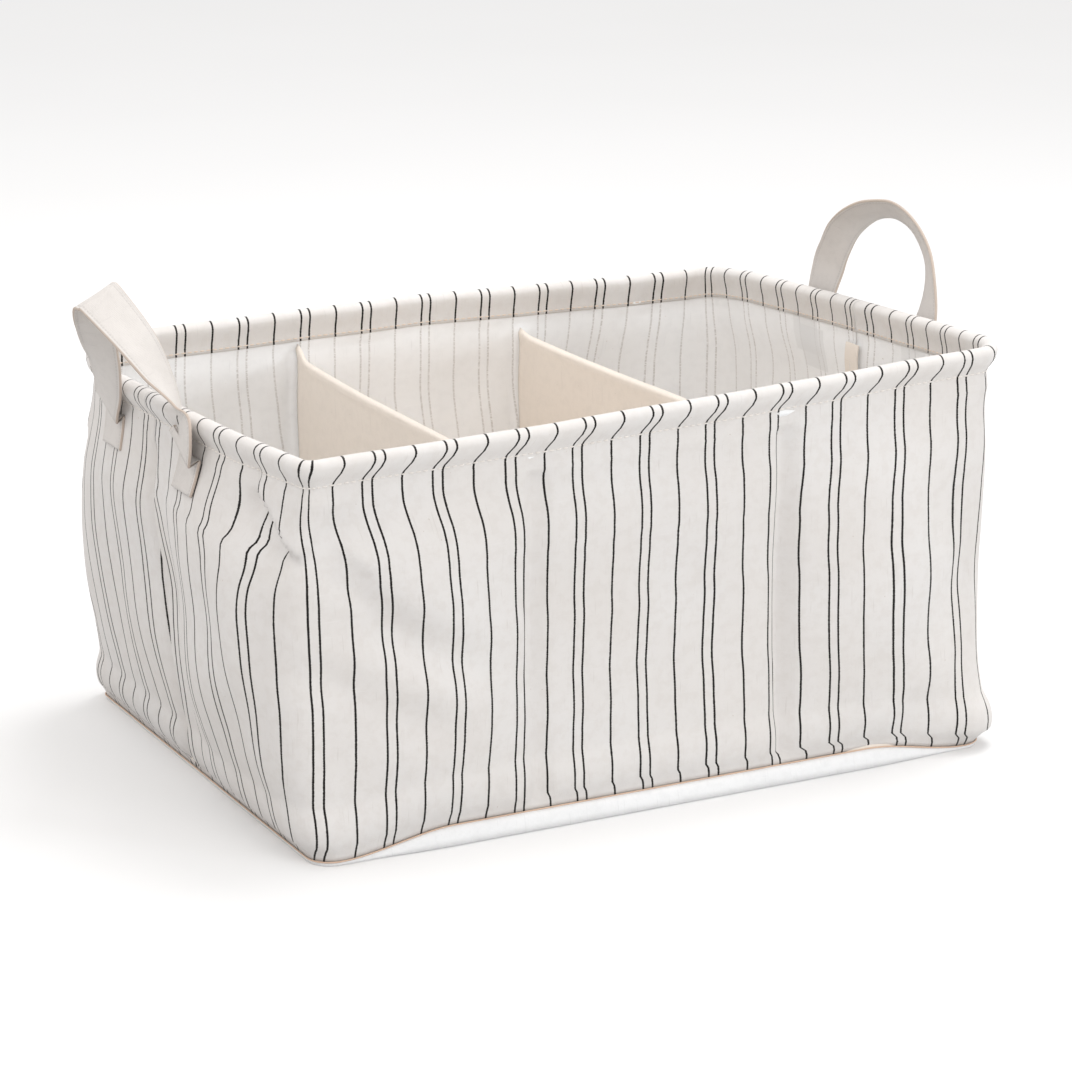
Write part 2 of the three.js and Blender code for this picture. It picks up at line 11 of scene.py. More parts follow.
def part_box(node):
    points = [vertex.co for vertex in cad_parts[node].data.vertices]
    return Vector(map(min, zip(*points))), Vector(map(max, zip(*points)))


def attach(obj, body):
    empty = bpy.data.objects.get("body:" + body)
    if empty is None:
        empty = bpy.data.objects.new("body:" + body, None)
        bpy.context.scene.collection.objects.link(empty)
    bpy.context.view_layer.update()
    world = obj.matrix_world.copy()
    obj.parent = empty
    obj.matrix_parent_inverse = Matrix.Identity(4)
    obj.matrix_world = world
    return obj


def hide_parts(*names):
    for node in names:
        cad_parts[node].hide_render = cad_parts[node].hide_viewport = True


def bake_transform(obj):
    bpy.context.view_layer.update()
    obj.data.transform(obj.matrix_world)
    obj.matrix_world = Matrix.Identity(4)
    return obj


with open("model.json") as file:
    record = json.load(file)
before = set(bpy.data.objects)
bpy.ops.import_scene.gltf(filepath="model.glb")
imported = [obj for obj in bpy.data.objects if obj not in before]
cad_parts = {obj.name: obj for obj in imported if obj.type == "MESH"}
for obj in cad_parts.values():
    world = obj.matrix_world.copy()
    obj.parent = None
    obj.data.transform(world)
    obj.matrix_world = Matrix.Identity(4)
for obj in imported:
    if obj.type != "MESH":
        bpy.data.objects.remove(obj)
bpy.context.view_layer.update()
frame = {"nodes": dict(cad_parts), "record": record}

bl_info = {
    "name": "Striped Storage Basket",
    "version": (1, 0, 0),
    "blender": (4, 5, 0),
    "location": "3D View > Sidebar > Basket",
    "description": "Models the cloth, straps, dividers and stage of a striped canvas basket",
    "category": "Object",
}

# Lengths in this file are millimetres, and meshes are made in metres
MM = 0.001
HALF_TURN = math.pi
QUARTER_TURN = math.pi / 2

# Overall form of the sewn body
RIM_LENGTH = 383
RIM_WIDTH = 290
BASE_LENGTH = 374
BASE_WIDTH = 290
RIM_HEIGHT = {"front_left": 195, "front_right": 210, "back_right": 198, "back_left": 196}
RIM_RADIUS = {"front_left": 12, "front_right": 10, "back_right": 24, "back_left": 14}
# How much higher the rim stands at the middle of the left end, of the back, and at the right end
LEFT_RISE, BACK_RISE, RIGHT_RISE = 4, 3, 3.5
BASE_RADIUS = 12
# Cloth whose normal leans this little from the Y direction belongs to a long face
SQUARE_ON = 0.999
CORNER_SWELL = {"front_left": 6, "front_right": 1, "back_right": 6, "back_left": 3}
# How far each side stands out at half its height, and how far the rim bows out over it
FULLNESS = {"front": -5, "right": 0, "back": -3, "left": 9}
BOW = {"front": 3, "right": 3, "back": 3, "left": 17}
# Share of the bow that stays in the lower half, and the power of its curve towards each end
BOW_BELOW = 0.15
BOW_LAW = {"front": (2, 2), "right": (2, 2), "back": (2, 2), "left": (4, 1.5)}
# How far the cloth crowns out in each bay between two seams, left to right as the side runs
CROWN = {"front": (10, 0, 14), "right": (6, 5), "back": (7, 5, 7), "left": (1, 1)}

# Cloth, hem and base
CANVAS = 1
SEWN_GAP = 0.3
HEM_CREASE = 3
CREASE_DROP = 13.2
FLAP_STITCH = 15.2
FLAP_DEPTH = 17
# Drop from the rim to the wall's top row, where the wall's recess fades into the hem
HEM_FADE = 22
# How far the wall is drawn in under the hem and at the side seams, and how much of it the flap shows
HEM_DRAW = 4.5
SEAM_TUCK = 4.2
FLAP_SHARE = 0.28
# How far the dividers and the side bindings follow the wall in, where that is, and over what reach
INNER_DRAW = 4.2
BELOW_HEM = 6
DRAW_REACH = 13
# How far the stripes are twisted along the front by the rolling of the hem
HEM_SKEW = 3.6
ROLL_RADIUS = 4.2
WIRE_RADIUS = 2
SLEEVE_RADIUS = 2.8
# Share of the wall's height, below the hem, over which the stripes come to follow the rim
GATHERED = 0.22
# Distance from the middle at which a row of cloth is pinned, so that its stripes count from there
PINNED = 184
# The plain base turns up as a lip, high along the long sides and low round the ends
LONG_LIP = 10
SHORT_LIP = 2
LIP_TAPER = 60
LIP_SPREAD = 3
SHORTEST_STITCH = 0.2
TAPE_WIDTH = 12
TAPE_BEVEL = 0.2
TAPE_INSET = 2.2
# About how high the walls' rows reach, and the height below which a divider reaches closer to them
BODY_HEIGHT = 175
CLOSE_BELOW = 22
# Small forms of the walls: slow waves, gathers under the hem and puckers over the base seam
SLOW_WAVE = 1.1
GATHER = 0.8
PUCKER = 0.7
# Half the width of the step at a crease
CREASE_EDGE = 1.6
# How far the cloth rolls out over the base seam along the long faces and elsewhere, and how high
FACE_ROLL = 2.4
END_ROLL = 3.5
ROLL_HEIGHT = 26
# The groove that a divider's stitching pulls into the wall: its place beside the seam on the front,
# its depth and reach, and the place and reach of the ridge or dip next to it
SEAM_SHIFT = 3.4
GROOVE_DEPTH = 3.2
GROOVE_REACH = 1.7
BESIDE_GROOVE = 4.4
BESIDE_REACH = 2.4

# Places of the seams along the sides
FRONT_SEAMS = (-76, 61)
BACK_SEAMS = (-69, 65)
SIDE_SEAM = {"right": -12, "left": 5}
DIVIDER_DROP = 25
# How far the lining lies above its place in the frame, and how far it waves
LINING_LIFT = 0.25
LINING_WAVE = 0.35
# A divider's half thickness, the share of its height that its fold rounds off, and its two bends:
# an uneven one and a slow one from wall to wall
DIVIDER_HALF = 0.95
FOLD_SHARE = 0.015
UNEVEN_BEND = 1.6
SLOW_BEND = 2.2

# Straps
STRAP_WIDTH = 24
STRAP = 1.6
SEWN_END = 20
SEWN_STEPS = 12
ROUTE_SAMPLES = 400
# A loop's heart, from which the turned strap faces away, as a share of the way from hinge to crest
HEART_SHARE = 0.35
# Each strap's middle line from its front sewn end to its back one. Each row gives a point, how far
# the strap's face has turned there from facing outward (degrees), and how flat it is spread.
HANDLES = {
    "left": (
        (-209.5, -42, 181, 180, 1), (-209, -47, 189, 166, 1), (-208.5, -41, 198, 150, 1),
        (-212, -30, 212, 128, 1), (-220, -20, 230, 105, 1), (-230, -1, 248, 88, 1),
        (-231.5, 3.5, 249.5, 84, 1), (-231.5, 8, 247, 92, 0.95), (-226, 21, 228, 132, 0.8),
        (-219, 31, 209, 166, 0.95), (-213, 45, 193, 178, 1), (-209.5, 56, 181, 180, 1),
    ),
    "right": (
        (197.2, -55, 190, 0, 1), (201, -59, 205, 12, 1), (206, -54, 222, 28, 1),
        (211, -43, 236, 40, 1), (213, -28, 247, 50, 1), (212, -14, 253, 60, 1),
        (208, -1, 253.5, 72, 1), (205, 12, 249, 72, 0.85), (203, 25, 239, 55, 0.75),
        (202.5, 34, 226, 32, 0.78), (202, 40, 213, 15, 0.95), (197.2, 43, 189, 0, 1),
    ),
}

# Stripes: a pair of lines and a single line take turns
STRIPE_REPEAT = 36
STRIPE_WIDTH = 1.05
PAIR_SPACING = 5.1
# How far a line's edge is ragged, how far it wanders, and how soft its edge is in and out
LINE_RAGGED = 0.55
LINE_WANDER = 1.2
LINE_EDGE = (0.08, 0.12)
# Spacing of the threads of each cloth, and of the stitches along a strap's edge
STRIPED_THREAD = 0.52
PLAIN_THREAD = 0.6
STRAP_THREAD = 0.7
STRAP_STITCH = 1.7

# Mesh steps
COLUMN_STEP = 2.5
BODY_ROWS = 70
ROLL_ROWS = 12
TAPE_STEPS = 50
# How far apart the cloth of a divider's two faces lies in its flat places
FACE_APART = 300

UP = Vector((0, 0, 1))
# The camera's yaw, pitch down and roll in degrees, and its place
CAMERA_TURN = (27.169, 16.109, -0.174)
CAMERA_PLACE = (-784.8, -1534.2, 597.8)
# Grey tones of the floor as it is seen and as it lights the basket, and its own faint glow
FLOOR_SEEN = (0.82, 0.84)
FLOOR_BOUNCE = 0.62
FLOOR_GLOW = 0.08

SIDES = {
    "front": {"along": (1, 0), "out": (0, -1), "corners": ("front_left", "front_right")},
    "right": {"along": (0, 1), "out": (1, 0), "corners": ("front_right", "back_right")},
    "back": {"along": (-1, 0), "out": (0, 1), "corners": ("back_right", "back_left")},
    "left": {"along": (0, -1), "out": (-1, 0), "corners": ("back_left", "front_left")},
}
CORNER_SIGN = {
    "front_left": (-1, -1), "front_right": (1, -1), "back_right": (1, 1), "back_left": (-1, 1),
}


def mix(a, b, share):
    return a + (b - a) * share


def clamp(value, low=0.0, high=1.0):
    return min(high, max(low, value))


def ease(share):
    share = clamp(share)
    return share * share * (3 - 2 * share)


def hump(offset, reach):
    """A smooth bump of height 1 that fades out over about twice its reach."""
    return math.exp(-0.5 * (offset / reach) ** 2)


def rough(x, y, z):
    """Smooth noise between about -1 and 1."""
    return noise.noise(Vector((x, y, z)))


# The folds of the front panel and of the back panel. Each row gives the place along the cloth,
# the height, the reach along and up, how far the cloth stands out, and how far the fold leans
# along the cloth over its height.
FRONT_FOLDS = (
    # the soft corner beside the left handle, and the bay of the front next to it
    (-40, 166, 18, 9, -3.5, 0), (-62, 172, 10, 16, 2.5, 0.2), (-32, 112, 15, 34, 7.5, -0.1),
    (-18, 60, 12, 30, 2.5, 0), (14, 160, 12, 8, -2.6, 0), (30, 128, 8, 12, -4.4, -1),
    (40, 110, 13, 9, -4.6, -0.8), (16, 88, 10, 8, -2.6, -0.6), (66, 96, 16, 11, -5.2, -0.9),
    (52, 66, 14, 10, -3.4, -0.6),
    # the tuck beside the right seam of the front
    (256, 108, 4.5, 62, -1.7, 0),
    # lower down on that bay and round the corner
    (84, 70, 20, 30, 3, 0), (-44, 60, 16, 14, -2.2, 0.6), (-20, 40, 12, 18, 1.6, 0),
    # the full bay of the left wall, which hangs out beyond the rim
    (-72, 75, 36, 34, 11, 0), (-70, 140, 34, 24, 9, 0), (-128, 95, 8, 50, -2.5, 0),
    # middle bay, nearly flat
    (150, 120, 14, 40, 0.9, 0.05), (186, 80, 12, 34, -0.9, -0.05), (220, 130, 12, 30, 0.8, 0),
    # right bay
    (278, 150, 10, 22, -1.4, 0.1), (306, 120, 12, 18, -1.6, 0.15), (330, 96, 14, 20, 2.2, 0.1),
    (352, 128, 10, 16, -2.4, -0.15), (366, 92, 8, 14, -3.2, 0.2), (344, 44, 12, 14, 2.4, 0.5),
    (334, 26, 9, 9, -2.4, 0.5), (374, 16, 12, 18, 6, -0.2), (388, 150, 8, 22, -2, 0),
)
BACK_FOLDS = (
    (40, 150, 16, 22, -1.8, 0.3), (70, 110, 20, 30, 2.6, 0.2), (104, 90, 12, 34, -1.6, -0.1),
    (150, 120, 16, 30, 1.6, 0.1), (190, 90, 14, 34, -1.4, 0), (226, 130, 14, 26, 1.4, -0.1),
    (286, 120, 16, 30, 2.4, 0.2), (316, 150, 12, 20, -2, 0.2), (346, 90, 16, 34, 3, 0),
    (372, 130, 8, 26, -2.4, 0.1), (408, 110, 14, 34, 2.2, -0.1), (440, 70, 14, 24, -1.8, 0.1),
    (476, 120, 12, 34, 1.6, 0), (-18, 130, 14, 26, 2.4, 0.2), (-44, 90, 12, 26, -2, -0.2),
    (-76, 120, 14, 34, 2, 0.1), (-112, 80, 14, 30, -1.6, 0), (6, 70, 10, 20, -2.4, 0.2),
    (378, 40, 12, 16, -1.8, 0.3),
)
# Creases where the cloth above folds over the cloth below: the two ends as place and height, the
# height of the step, and how far it fades out above and below
FRONT_CREASES = (
    (-46, 178, 0, 149, 3.4, 16, 9), (12, 158, 34, 138, 1.2, 12, 8),
)
BACK_CREASES = ((404, 150, 376, 168, 1.6, 12, 9),)
# How far the weave itself is drawn aside: place, height, reach along and up, and how far
FRONT_DRIFT = (
    (30, 180, 60, 12, -2), (-20, 176, 22, 12, 2), (180, 100, 130, 90, -4), (110, 95, 14, 70, 3),
    (190, 145, 60, 30, 2.2), (304, 75, 12, 60, -3.6), (236, 60, 12, 60, 2.2), (300, 150, 60, 40, -2),
    (190, 165, 90, 22, -2.6), (190, 22, 90, 16, -2.4), (36, 85, 34, 45, 3.2), (262, 24, 16, 14, -2),
    (364, 95, 13, 42, 9), (362, 130, 9, 60, 1.6), (120, 25, 40, 22, -2.2), (-18, 151, 13, 9, 7),
    (-40, 166, 12, 10, 5), (-26, 122, 18, 16, -4),
    # round the right corner the cloth is gathered in
    (458, 180, 46, 300, -13),
)
BACK_DRIFT = (
    (60, 150, 30, 30, 2), (180, 60, 60, 40, -2), (330, 130, 50, 30, 2), (430, 100, 40, 40, -2),
    (-70, 180, 50, 200, -3.2),
)


def rim_height(x, y):
    across = clamp(x / RIM_LENGTH + 0.5)
    back = clamp(y / RIM_WIDTH + 0.5)
    front = mix(RIM_HEIGHT["front_left"], RIM_HEIGHT["front_right"], across)
    rear = mix(RIM_HEIGHT["back_left"], RIM_HEIGHT["back_right"], across)
    left = LEFT_RISE * hump(x + RIM_LENGTH / 2, 60) * hump(y, 80)
    middle = BACK_RISE * hump(x + 20, 90) * ease((y - 100) / 40)
    right = RIGHT_RISE * ease((x - 170) / 20) * ease((y + 147) / 14)
    return mix(front, rear, back) + left + middle + right * (1 - 0.5 * ease((y - 90) / 50))


def swell(share):
    return math.sin(HALF_TURN * clamp(share))


def bowing(share):
    return mix(BOW_BELOW, 1, ease((share - 0.5) / 0.5)) * ease(share / 0.2)


def reach(side, share):
    """Distance of a side's plain line from the middle of the basket."""
    ends = (BASE_WIDTH, RIM_WIDTH) if side in ("front", "back") else (BASE_LENGTH, RIM_LENGTH)
    return mix(*ends, share) / 2 + FULLNESS[side] * swell(share)


def radius(corner, share):
    return mix(BASE_RADIUS, RIM_RADIUS[corner], ease(share)) + CORNER_SWELL[corner] * swell(share)


def seams_of(side):
    if side == "front":
        return FRONT_SEAMS
    if side == "back":
        return (-BACK_SEAMS[1], -BACK_SEAMS[0])
    return (SIDE_SEAM["right"],) if side == "right" else (-SIDE_SEAM["left"],)


def knots_of(side, share):
    """Ends of the bays of a side, as places along its direction."""
    order = ("front", "right", "back", "left")
    turn = order.index(side)
    before, after = reach(order[turn - 1], share), reach(order[(turn + 1) % 4], share)
    first, last = SIDES[side]["corners"]
    return (-before + radius(first, share), *seams_of(side), after - radius(last, share))


def side_point(side, along, share):
    """Point of the outer face in plan, and the outward normal."""
    knots = knots_of(side, share)
    bay = 0
    while bay < len(knots) - 2 and along > knots[bay + 1]:
        bay += 1
    place = clamp((along - knots[bay]) / (knots[bay + 1] - knots[bay]))
    crown = CROWN[side][bay] * math.sin(HALF_TURN * place) ** 1.3 * swell(share)
    end, law = (knots[-1], BOW_LAW[side][1]) if along > 0 else (-knots[0], BOW_LAW[side][0])
    bowed = BOW[side] * bowing(share) * (1 - min(1, abs(along) / end) ** law)
    away = reach(side, share) + crown + bowed
    (run_x, run_y), (out_x, out_y) = SIDES[side]["along"], SIDES[side]["out"]
    return run_x * along + out_x * away, run_y * along + out_y * away, out_x, out_y


def corner_point(side, turn, share):
    """Point on the corner after a side, at a share of its quarter turn."""
    corner = SIDES[side]["corners"][1]
    size = radius(corner, share)
    (run_x, run_y), (out_x, out_y) = SIDES[side]["along"], SIDES[side]["out"]
    cosine, sine = math.cos(QUARTER_TURN * turn), math.sin(QUARTER_TURN * turn)
    normal_x = out_x * cosine + run_x * sine
    normal_y = out_y * cosine + run_y * sine
    sign_x, sign_y = CORNER_SIGN[corner]
    x = sign_x * (reach("right" if sign_x > 0 else "left", share) - size) + normal_x * size
    y = sign_y * (reach("back" if sign_y > 0 else "front", share) - size) + normal_y * size
    return x, y, normal_x, normal_y


def bay_station(side, bay, place):
    def at(share):
        knots = knots_of(side, share)
        return side_point(side, mix(knots[bay], knots[bay + 1], place), share)
    return at


def corner_station(side, turn):
    return lambda share: corner_point(side, turn, share)


def run_stations(parts):
    """Stations along a run of bays and corners, about one column step apart at the rim."""
    stations = []
    for kind, side, bay in parts:
        def make(place, kind=kind, side=side, bay=bay):
            return bay_station(side, bay, place) if kind == "bay" else corner_station(side, place)
        fine = [make(i / 24)(1)[:2] for i in range(25)]
        length = sum(math.dist(a, b) for a, b in zip(fine, fine[1:]))
        steps = max(4, round(length / COLUMN_STEP))
        stations += [make(i / steps) for i in range(1 if stations else 0, steps + 1)]
    return stations


def cloth_places(stations, origin):
    """Place of each station along the cloth at the rim, in millimetres, with 0 at a station."""
    points = [station(1)[:2] for station in stations]
    places = [0.0]
    for a, b in zip(points, points[1:]):
        places.append(places[-1] + math.dist(a, b))
    return [place - places[origin] for place in places]


FRONT_RUN = (
    ("bay", "left", 1), ("corner", "left", 0), ("bay", "front", 0), ("bay", "front", 1),
    ("bay", "front", 2), ("corner", "front", 0), ("bay", "right", 0),
)
BACK_RUN = (
    ("bay", "right", 1), ("corner", "right", 0), ("bay", "back", 0), ("bay", "back", 1),
    ("bay", "back", 2), ("corner", "back", 0), ("bay", "left", 0),
)


def nearest_station(stations, x, y):
    return min(range(len(stations)), key=lambda i: math.dist(stations[i](1)[:2], (x, y)))


def lip_height(x, out_y):
    """Height of the base seam: the plain base turns up along the long sides."""
    if abs(out_y) < SQUARE_ON:
        return SHORT_LIP
    from_corner = BASE_LENGTH / 2 - BASE_RADIUS - abs(x)
    return mix(SHORT_LIP, LONG_LIP, ease(from_corner / LIP_TAPER))


def seam_pinch(seams, x, height, foot, top):
    """A divider's stitching pulls a narrow groove into the wall, with a ridge or dip beside it."""
    span = ease((height - foot) / 8) * (1 - ease((height - top) / 6))
    pull = 0.0
    for seam, beside in seams:
        pull -= GROOVE_DEPTH * hump(x - seam, GROOVE_REACH) * span
        pull += beside * hump(x - seam + math.copysign(BESIDE_GROOVE, beside), BESIDE_REACH) * span
    return pull


def crease_step(crease, place, height):
    """The cloth stands out above a crease and is tucked in below it."""
    from_place, from_height, to_place, to_height, step, above, below = crease
    run, rise = to_place - from_place, to_height - from_height
    length = math.hypot(run, rise)
    along = ((place - from_place) * run + (height - from_height) * rise) / length
    off = ((height - from_height) * run - (place - from_place) * rise) / length
    off = off if run > 0 else -off
    fade = ease(along / 12) * ease((length - along) / 8 + 0.5)
    side = clamp(off / CREASE_EDGE, -1, 1)
    return step * fade * side * hump(off, above if off > 0 else below)


class WallPanel:
    """One U-shaped panel of the striped cloth, from side seam to side seam."""

    def __init__(self, run, corner, folds, creases, drifts, face, pinches):
        self.stations = run_stations(run)
        sign_x, sign_y = CORNER_SIGN[corner]
        inset = RIM_RADIUS[corner] * (1 - math.cos(QUARTER_TURN / 2))
        corner_x = sign_x * (RIM_LENGTH / 2 - inset)
        corner_y = sign_y * (RIM_WIDTH / 2 - inset)
        self.origin = nearest_station(self.stations, corner_x, corner_y)
        self.pinned = sign_x * PINNED
        self.pinned_side = sign_y
        self.places = cloth_places(self.stations, self.origin)
        self.folds = folds
        self.creases = creases
        self.drifts = drifts
        self.face = face
        self.pinches = pinches

    def relief(self, place, x, height, foot, top, along_face):
        """How far the cloth stands out of its plain form."""
        out = 0.0
        for centre, level, along, up, size, lean in self.folds:
            offset = place - centre - lean * (height - level)
            if abs(offset) < 4 * along and abs(height - level) < 4 * up:
                out += size * hump(offset, along) * hump(height - level, up)
        for crease in self.creases:
            out += crease_step(crease, place, height)
        seam_ends = min(abs(place - self.places[0]), abs(place - self.places[-1]))
        out -= SEAM_TUCK * hump(seam_ends, 3) * ease((top - height) / 12)
        wave = rough(place * 0.035, height * 0.022, 3)
        out += SLOW_WAVE * wave * swell((height - foot) / (top - foot))
        # small gathers under the hem and over the base seam
        out += GATHER * rough(place * 0.11, 7, 0) * hump(height - (top + 4), 9)
        out += PUCKER * rough(place * 0.16, 1, 5) * hump(height - foot - 7, 7)
        # the cloth rolls out over the base seam, and is drawn in under the hem
        roll = FACE_ROLL if along_face else END_ROLL
        out += roll * math.sin(HALF_TURN * clamp((height - foot) / ROLL_HEIGHT))
        out -= HEM_DRAW * hump(height - (top - 4), 15)
        if along_face:
            out += seam_pinch(self.pinches, x, height, foot, top - 4)
        return out

    def drift(self, place, height):
        """How far the stripes are drawn aside along the cloth."""
        return sum(
            size * hump(place - centre, along) * hump(height - level, up)
            for centre, level, along, up, size in self.drifts
        )

    def body_point(self, index, row):
        """A point of the outer face between the base seam and the hem."""
        station, place = self.stations[index], self.places[index]
        share = row / BODY_ROWS
        x, y, out_x, out_y = station(share)
        foot_x, _, _, foot_out = station(0)
        foot = lip_height(foot_x, foot_out) + SEWN_GAP
        rim_x, rim_y, _, _ = station(1)
        rim = rim_height(rim_x, rim_y)
        top = rim - HEM_FADE
        height = mix(foot, top, share)
        along_face = abs(out_y) > SQUARE_ON and (out_y < 0) == (self.face == "front")
        out = self.relief(place, x, height, foot, top, along_face) * min(1, share * BODY_ROWS / 3)
        return Vector((x + out_x * out, y + out_y * out, height))

    def body_row(self, row):
        """A row of points, and how far along the cloth each of them lies.

        The stripes keep their spacing along the cloth as it bulges and folds. Near the hem they
        follow the rim again, because the spare cloth is gathered there."""
        points = [self.body_point(i, row) for i in range(len(self.stations))]
        run = [0.0]
        for a, b in zip(points, points[1:]):
            run.append(run[-1] + (b - a).length)
        share = ease((row / BODY_ROWS - (1 - GATHERED)) / GATHERED)
        start = run[self.origin]
        for i in range(1, len(points)):
            a, b = points[i - 1].x - self.pinned, points[i].x - self.pinned
            if a * b <= 0 and points[i].y * self.pinned_side > 0 and a != b:
                start = mix(run[i - 1], run[i], a / (a - b))
        cloth = []
        for i, point in enumerate(points):
            place = mix(run[i] - start, self.places[i], share)
            cloth.append((place - self.drift(self.places[i], point.z), point.z))
        return points, cloth

    def hem_profile(self):
        """Insets and drops from the hem's foot, over the wire and down the flap."""
        steps = [(0.3, HEM_FADE - 1.5), (1.2, 17.5), (2.4, 15.2), (HEM_CREASE, CREASE_DROP)]
        steps += [(HEM_CREASE * 0.85, 11.6), (HEM_CREASE * 0.5, 9.2), (0.5, 7.0)]
        for i in range(ROLL_ROWS + 1):
            turn = HALF_TURN * i / ROLL_ROWS
            steps.append((
                ROLL_RADIUS - ROLL_RADIUS * math.cos(turn),
                ROLL_RADIUS - ROLL_RADIUS * math.sin(turn),
            ))
        flap = 2 * CANVAS + SEWN_GAP + HEM_CREASE
        steps += [(2 * ROLL_RADIUS - 0.5, 6.6), (mix(2 * ROLL_RADIUS, flap, 0.5), 9.0)]
        steps += [(flap + 0.5, 11.4), (flap, FLAP_STITCH), (flap + 0.1, FLAP_DEPTH)]
        return steps

    def recess(self, index):
        """How far the wall's top row lies inside the rim's outer face."""
        x, y, out_x, out_y = self.stations[index](1)
        top = self.body_point(index, BODY_ROWS)
        return (Vector((x, y, top.z)) - top).dot(Vector((out_x, out_y, 0)))

    def hem_point(self, index, inset, drop, fallen):
        """A point of the hem. The recess of the wall below it fades in over the crease."""
        station, place = self.stations[index], self.places[index]
        x, y, out_x, out_y = station(1)
        rim = rim_height(x, y)
        wave = 0.5 * rough(place * 0.03, 11, 2)
        lift = 0.7 * rough(place * 0.02, 4, 9)
        inward = inset + fallen - wave
        point = Vector((x - out_x * inward, y - out_y * inward, rim - drop + lift))
        skew = HEM_SKEW * ease((CREASE_DROP - drop) / 11) if self.face == "front" else 0
        skew *= ease((360 - place) / 20) * ease((place + 10) / 20)
        return point, place - self.drift(place, rim - drop) - skew


def grid_faces(columns, rows, first=0):
    """Faces of a grid of points that is stored column by column, from its first point on."""
    deep = rows + 1
    corners = (first + column * deep + row for column in range(columns) for row in range(rows))
    return [(near, near + deep, near + deep + 1, near + 1) for near in corners]


def wall_mesh(panel):
    """Points, faces and cloth places of a panel's outer face, over the hem and down its flap."""
    points, cloth = [], []
    profile = panel.hem_profile()
    body = [panel.body_row(row) for row in range(BODY_ROWS + 1)]
    for index in range(len(panel.stations)):
        for row_points, row_cloth in body:
            points.append(row_points[index])
            cloth.append(row_cloth[index])
        recess = panel.recess(index)
        rolled = cloth[-1][1]
        before = None
        for inset, drop in profile:
            fallen = recess * ease((drop - 5) / (HEM_FADE - 5))
            if before:
                rolled += math.dist(before, (inset, drop))
            before = (inset, drop)
            on_flap = inset > 1.7 * ROLL_RADIUS or (inset > 4 and drop > 8)
            fallen = recess * FLAP_SHARE * ease((drop - 5) / 8) if on_flap else fallen
            point, place = panel.hem_point(index, inset, drop, fallen)
            points.append(point)
            cloth.append((place, rolled + HEM_FADE - profile[0][1]))
    faces = grid_faces(len(panel.stations) - 1, BODY_ROWS + len(profile))
    return points, faces, cloth


FRONT_PANEL = WallPanel(
    FRONT_RUN, "front_left", FRONT_FOLDS, FRONT_CREASES, FRONT_DRIFT, "front",
    [(FRONT_SEAMS[0] + SEAM_SHIFT, -2.4), (FRONT_SEAMS[1] + SEAM_SHIFT, -2.2)],
)
BACK_PANEL = WallPanel(
    BACK_RUN, "back_right", BACK_FOLDS, BACK_CREASES, BACK_DRIFT, "back",
    [(BACK_SEAMS[0], 1.0), (BACK_SEAMS[1], -1.0)],
)


def outer_face(side, y, height):
    """The real outer face of an end wall, with its folds, at a place across and a height."""
    panel = FRONT_PANEL if y < SIDE_SEAM[side] else BACK_PANEL
    sign = 1 if side == "right" else -1
    spots = [station(1) for station in panel.stations]
    near = [
        i for i, spot in enumerate(spots)
        if spot[0] * sign > RIM_LENGTH / 2 - 40 and abs(spot[1] - y) < 12
    ]
    index = min(near, key=lambda i: abs(spots[i][1] - y))
    x, rim_y, _, out_y = spots[index]
    rim = rim_height(x, rim_y)
    drop = rim - height
    if drop >= HEM_FADE:
        foot = lip_height(x, out_y) + SEWN_GAP
        share = (height - foot) / (rim - HEM_FADE - foot)
        return Vector((panel.body_point(index, share * BODY_ROWS).x, y, height))
    profile = [step for step in panel.hem_profile() if step[1] >= ROLL_RADIUS][:8]
    inset = next((a for a, b in reversed(profile) if b >= drop), profile[0][0])
    fallen = panel.recess(index) * ease((drop - 5) / (HEM_FADE - 5))
    return Vector((x - sign * (inset + fallen), y, height))


def drawn_in(height, hem):
    """How far a piece on the inner face is drawn in with the wall, below the foot of the hem."""
    return INNER_DRAW * hump(height - (hem - BELOW_HEM), DRAW_REACH)


def wall_outer(side, along, height):
    """Outer face of a wall's plain form at a place and a height, and its normal in plan."""
    x, y, _, _ = side_point(side, along, 1)
    share = clamp((height - SHORT_LIP) / (rim_height(x, y) - HEM_FADE - SHORT_LIP))
    x, y, out_x, out_y = side_point(side, along, share)
    return Vector((x, y, height)), Vector((out_x, out_y, 0))


# Mesh helpers
def new_object(name, points, faces, cloth=None):
    """A mesh object at the origin, its points in millimetres, with cloth places as its UV map."""
    mesh = bpy.data.meshes.new(name)
    mesh.from_pydata([tuple(c * MM for c in p) for p in points], [], faces)
    if cloth:
        layer = mesh.uv_layers.new(name="Cloth")
        for loop in mesh.loops:
            u, v = cloth[loop.vertex_index]
            layer.data[loop.index].uv = (u * MM, v * MM)
    mesh.update()
    mesh.shade_smooth()
    obj = bpy.data.objects.new(name, mesh)
    bpy.context.scene.collection.objects.link(obj)
    return obj


def apply(obj, kind, **values):
    bpy.ops.object.select_all(action="DESELECT")
    bpy.context.view_layer.objects.active = obj
    obj.select_set(True)
    modifier = obj.modifiers.new(kind.title(), kind)
    for key, value in values.items():
        setattr(modifier, key, value)
    bpy.ops.object.modifier_apply(modifier=modifier.name)


def thicken(obj, inner_material=0):
    apply(obj, "SOLIDIFY", thickness=CANVAS * MM, offset=-1, use_even_offset=False,
          material_offset=inner_material)


def weld_and_face_out(obj):
    apply(obj, "WELD", merge_threshold=0.02 * MM)
    bpy.ops.object.mode_set(mode="EDIT")
    bpy.ops.mesh.select_all(action="SELECT")
    bpy.ops.mesh.normals_make_consistent(inside=False)
    bpy.ops.object.mode_set(mode="OBJECT")


def finish_with(obj, *materials):
    obj.data.materials.clear()
    for material in materials:
        obj.data.materials.append(material)


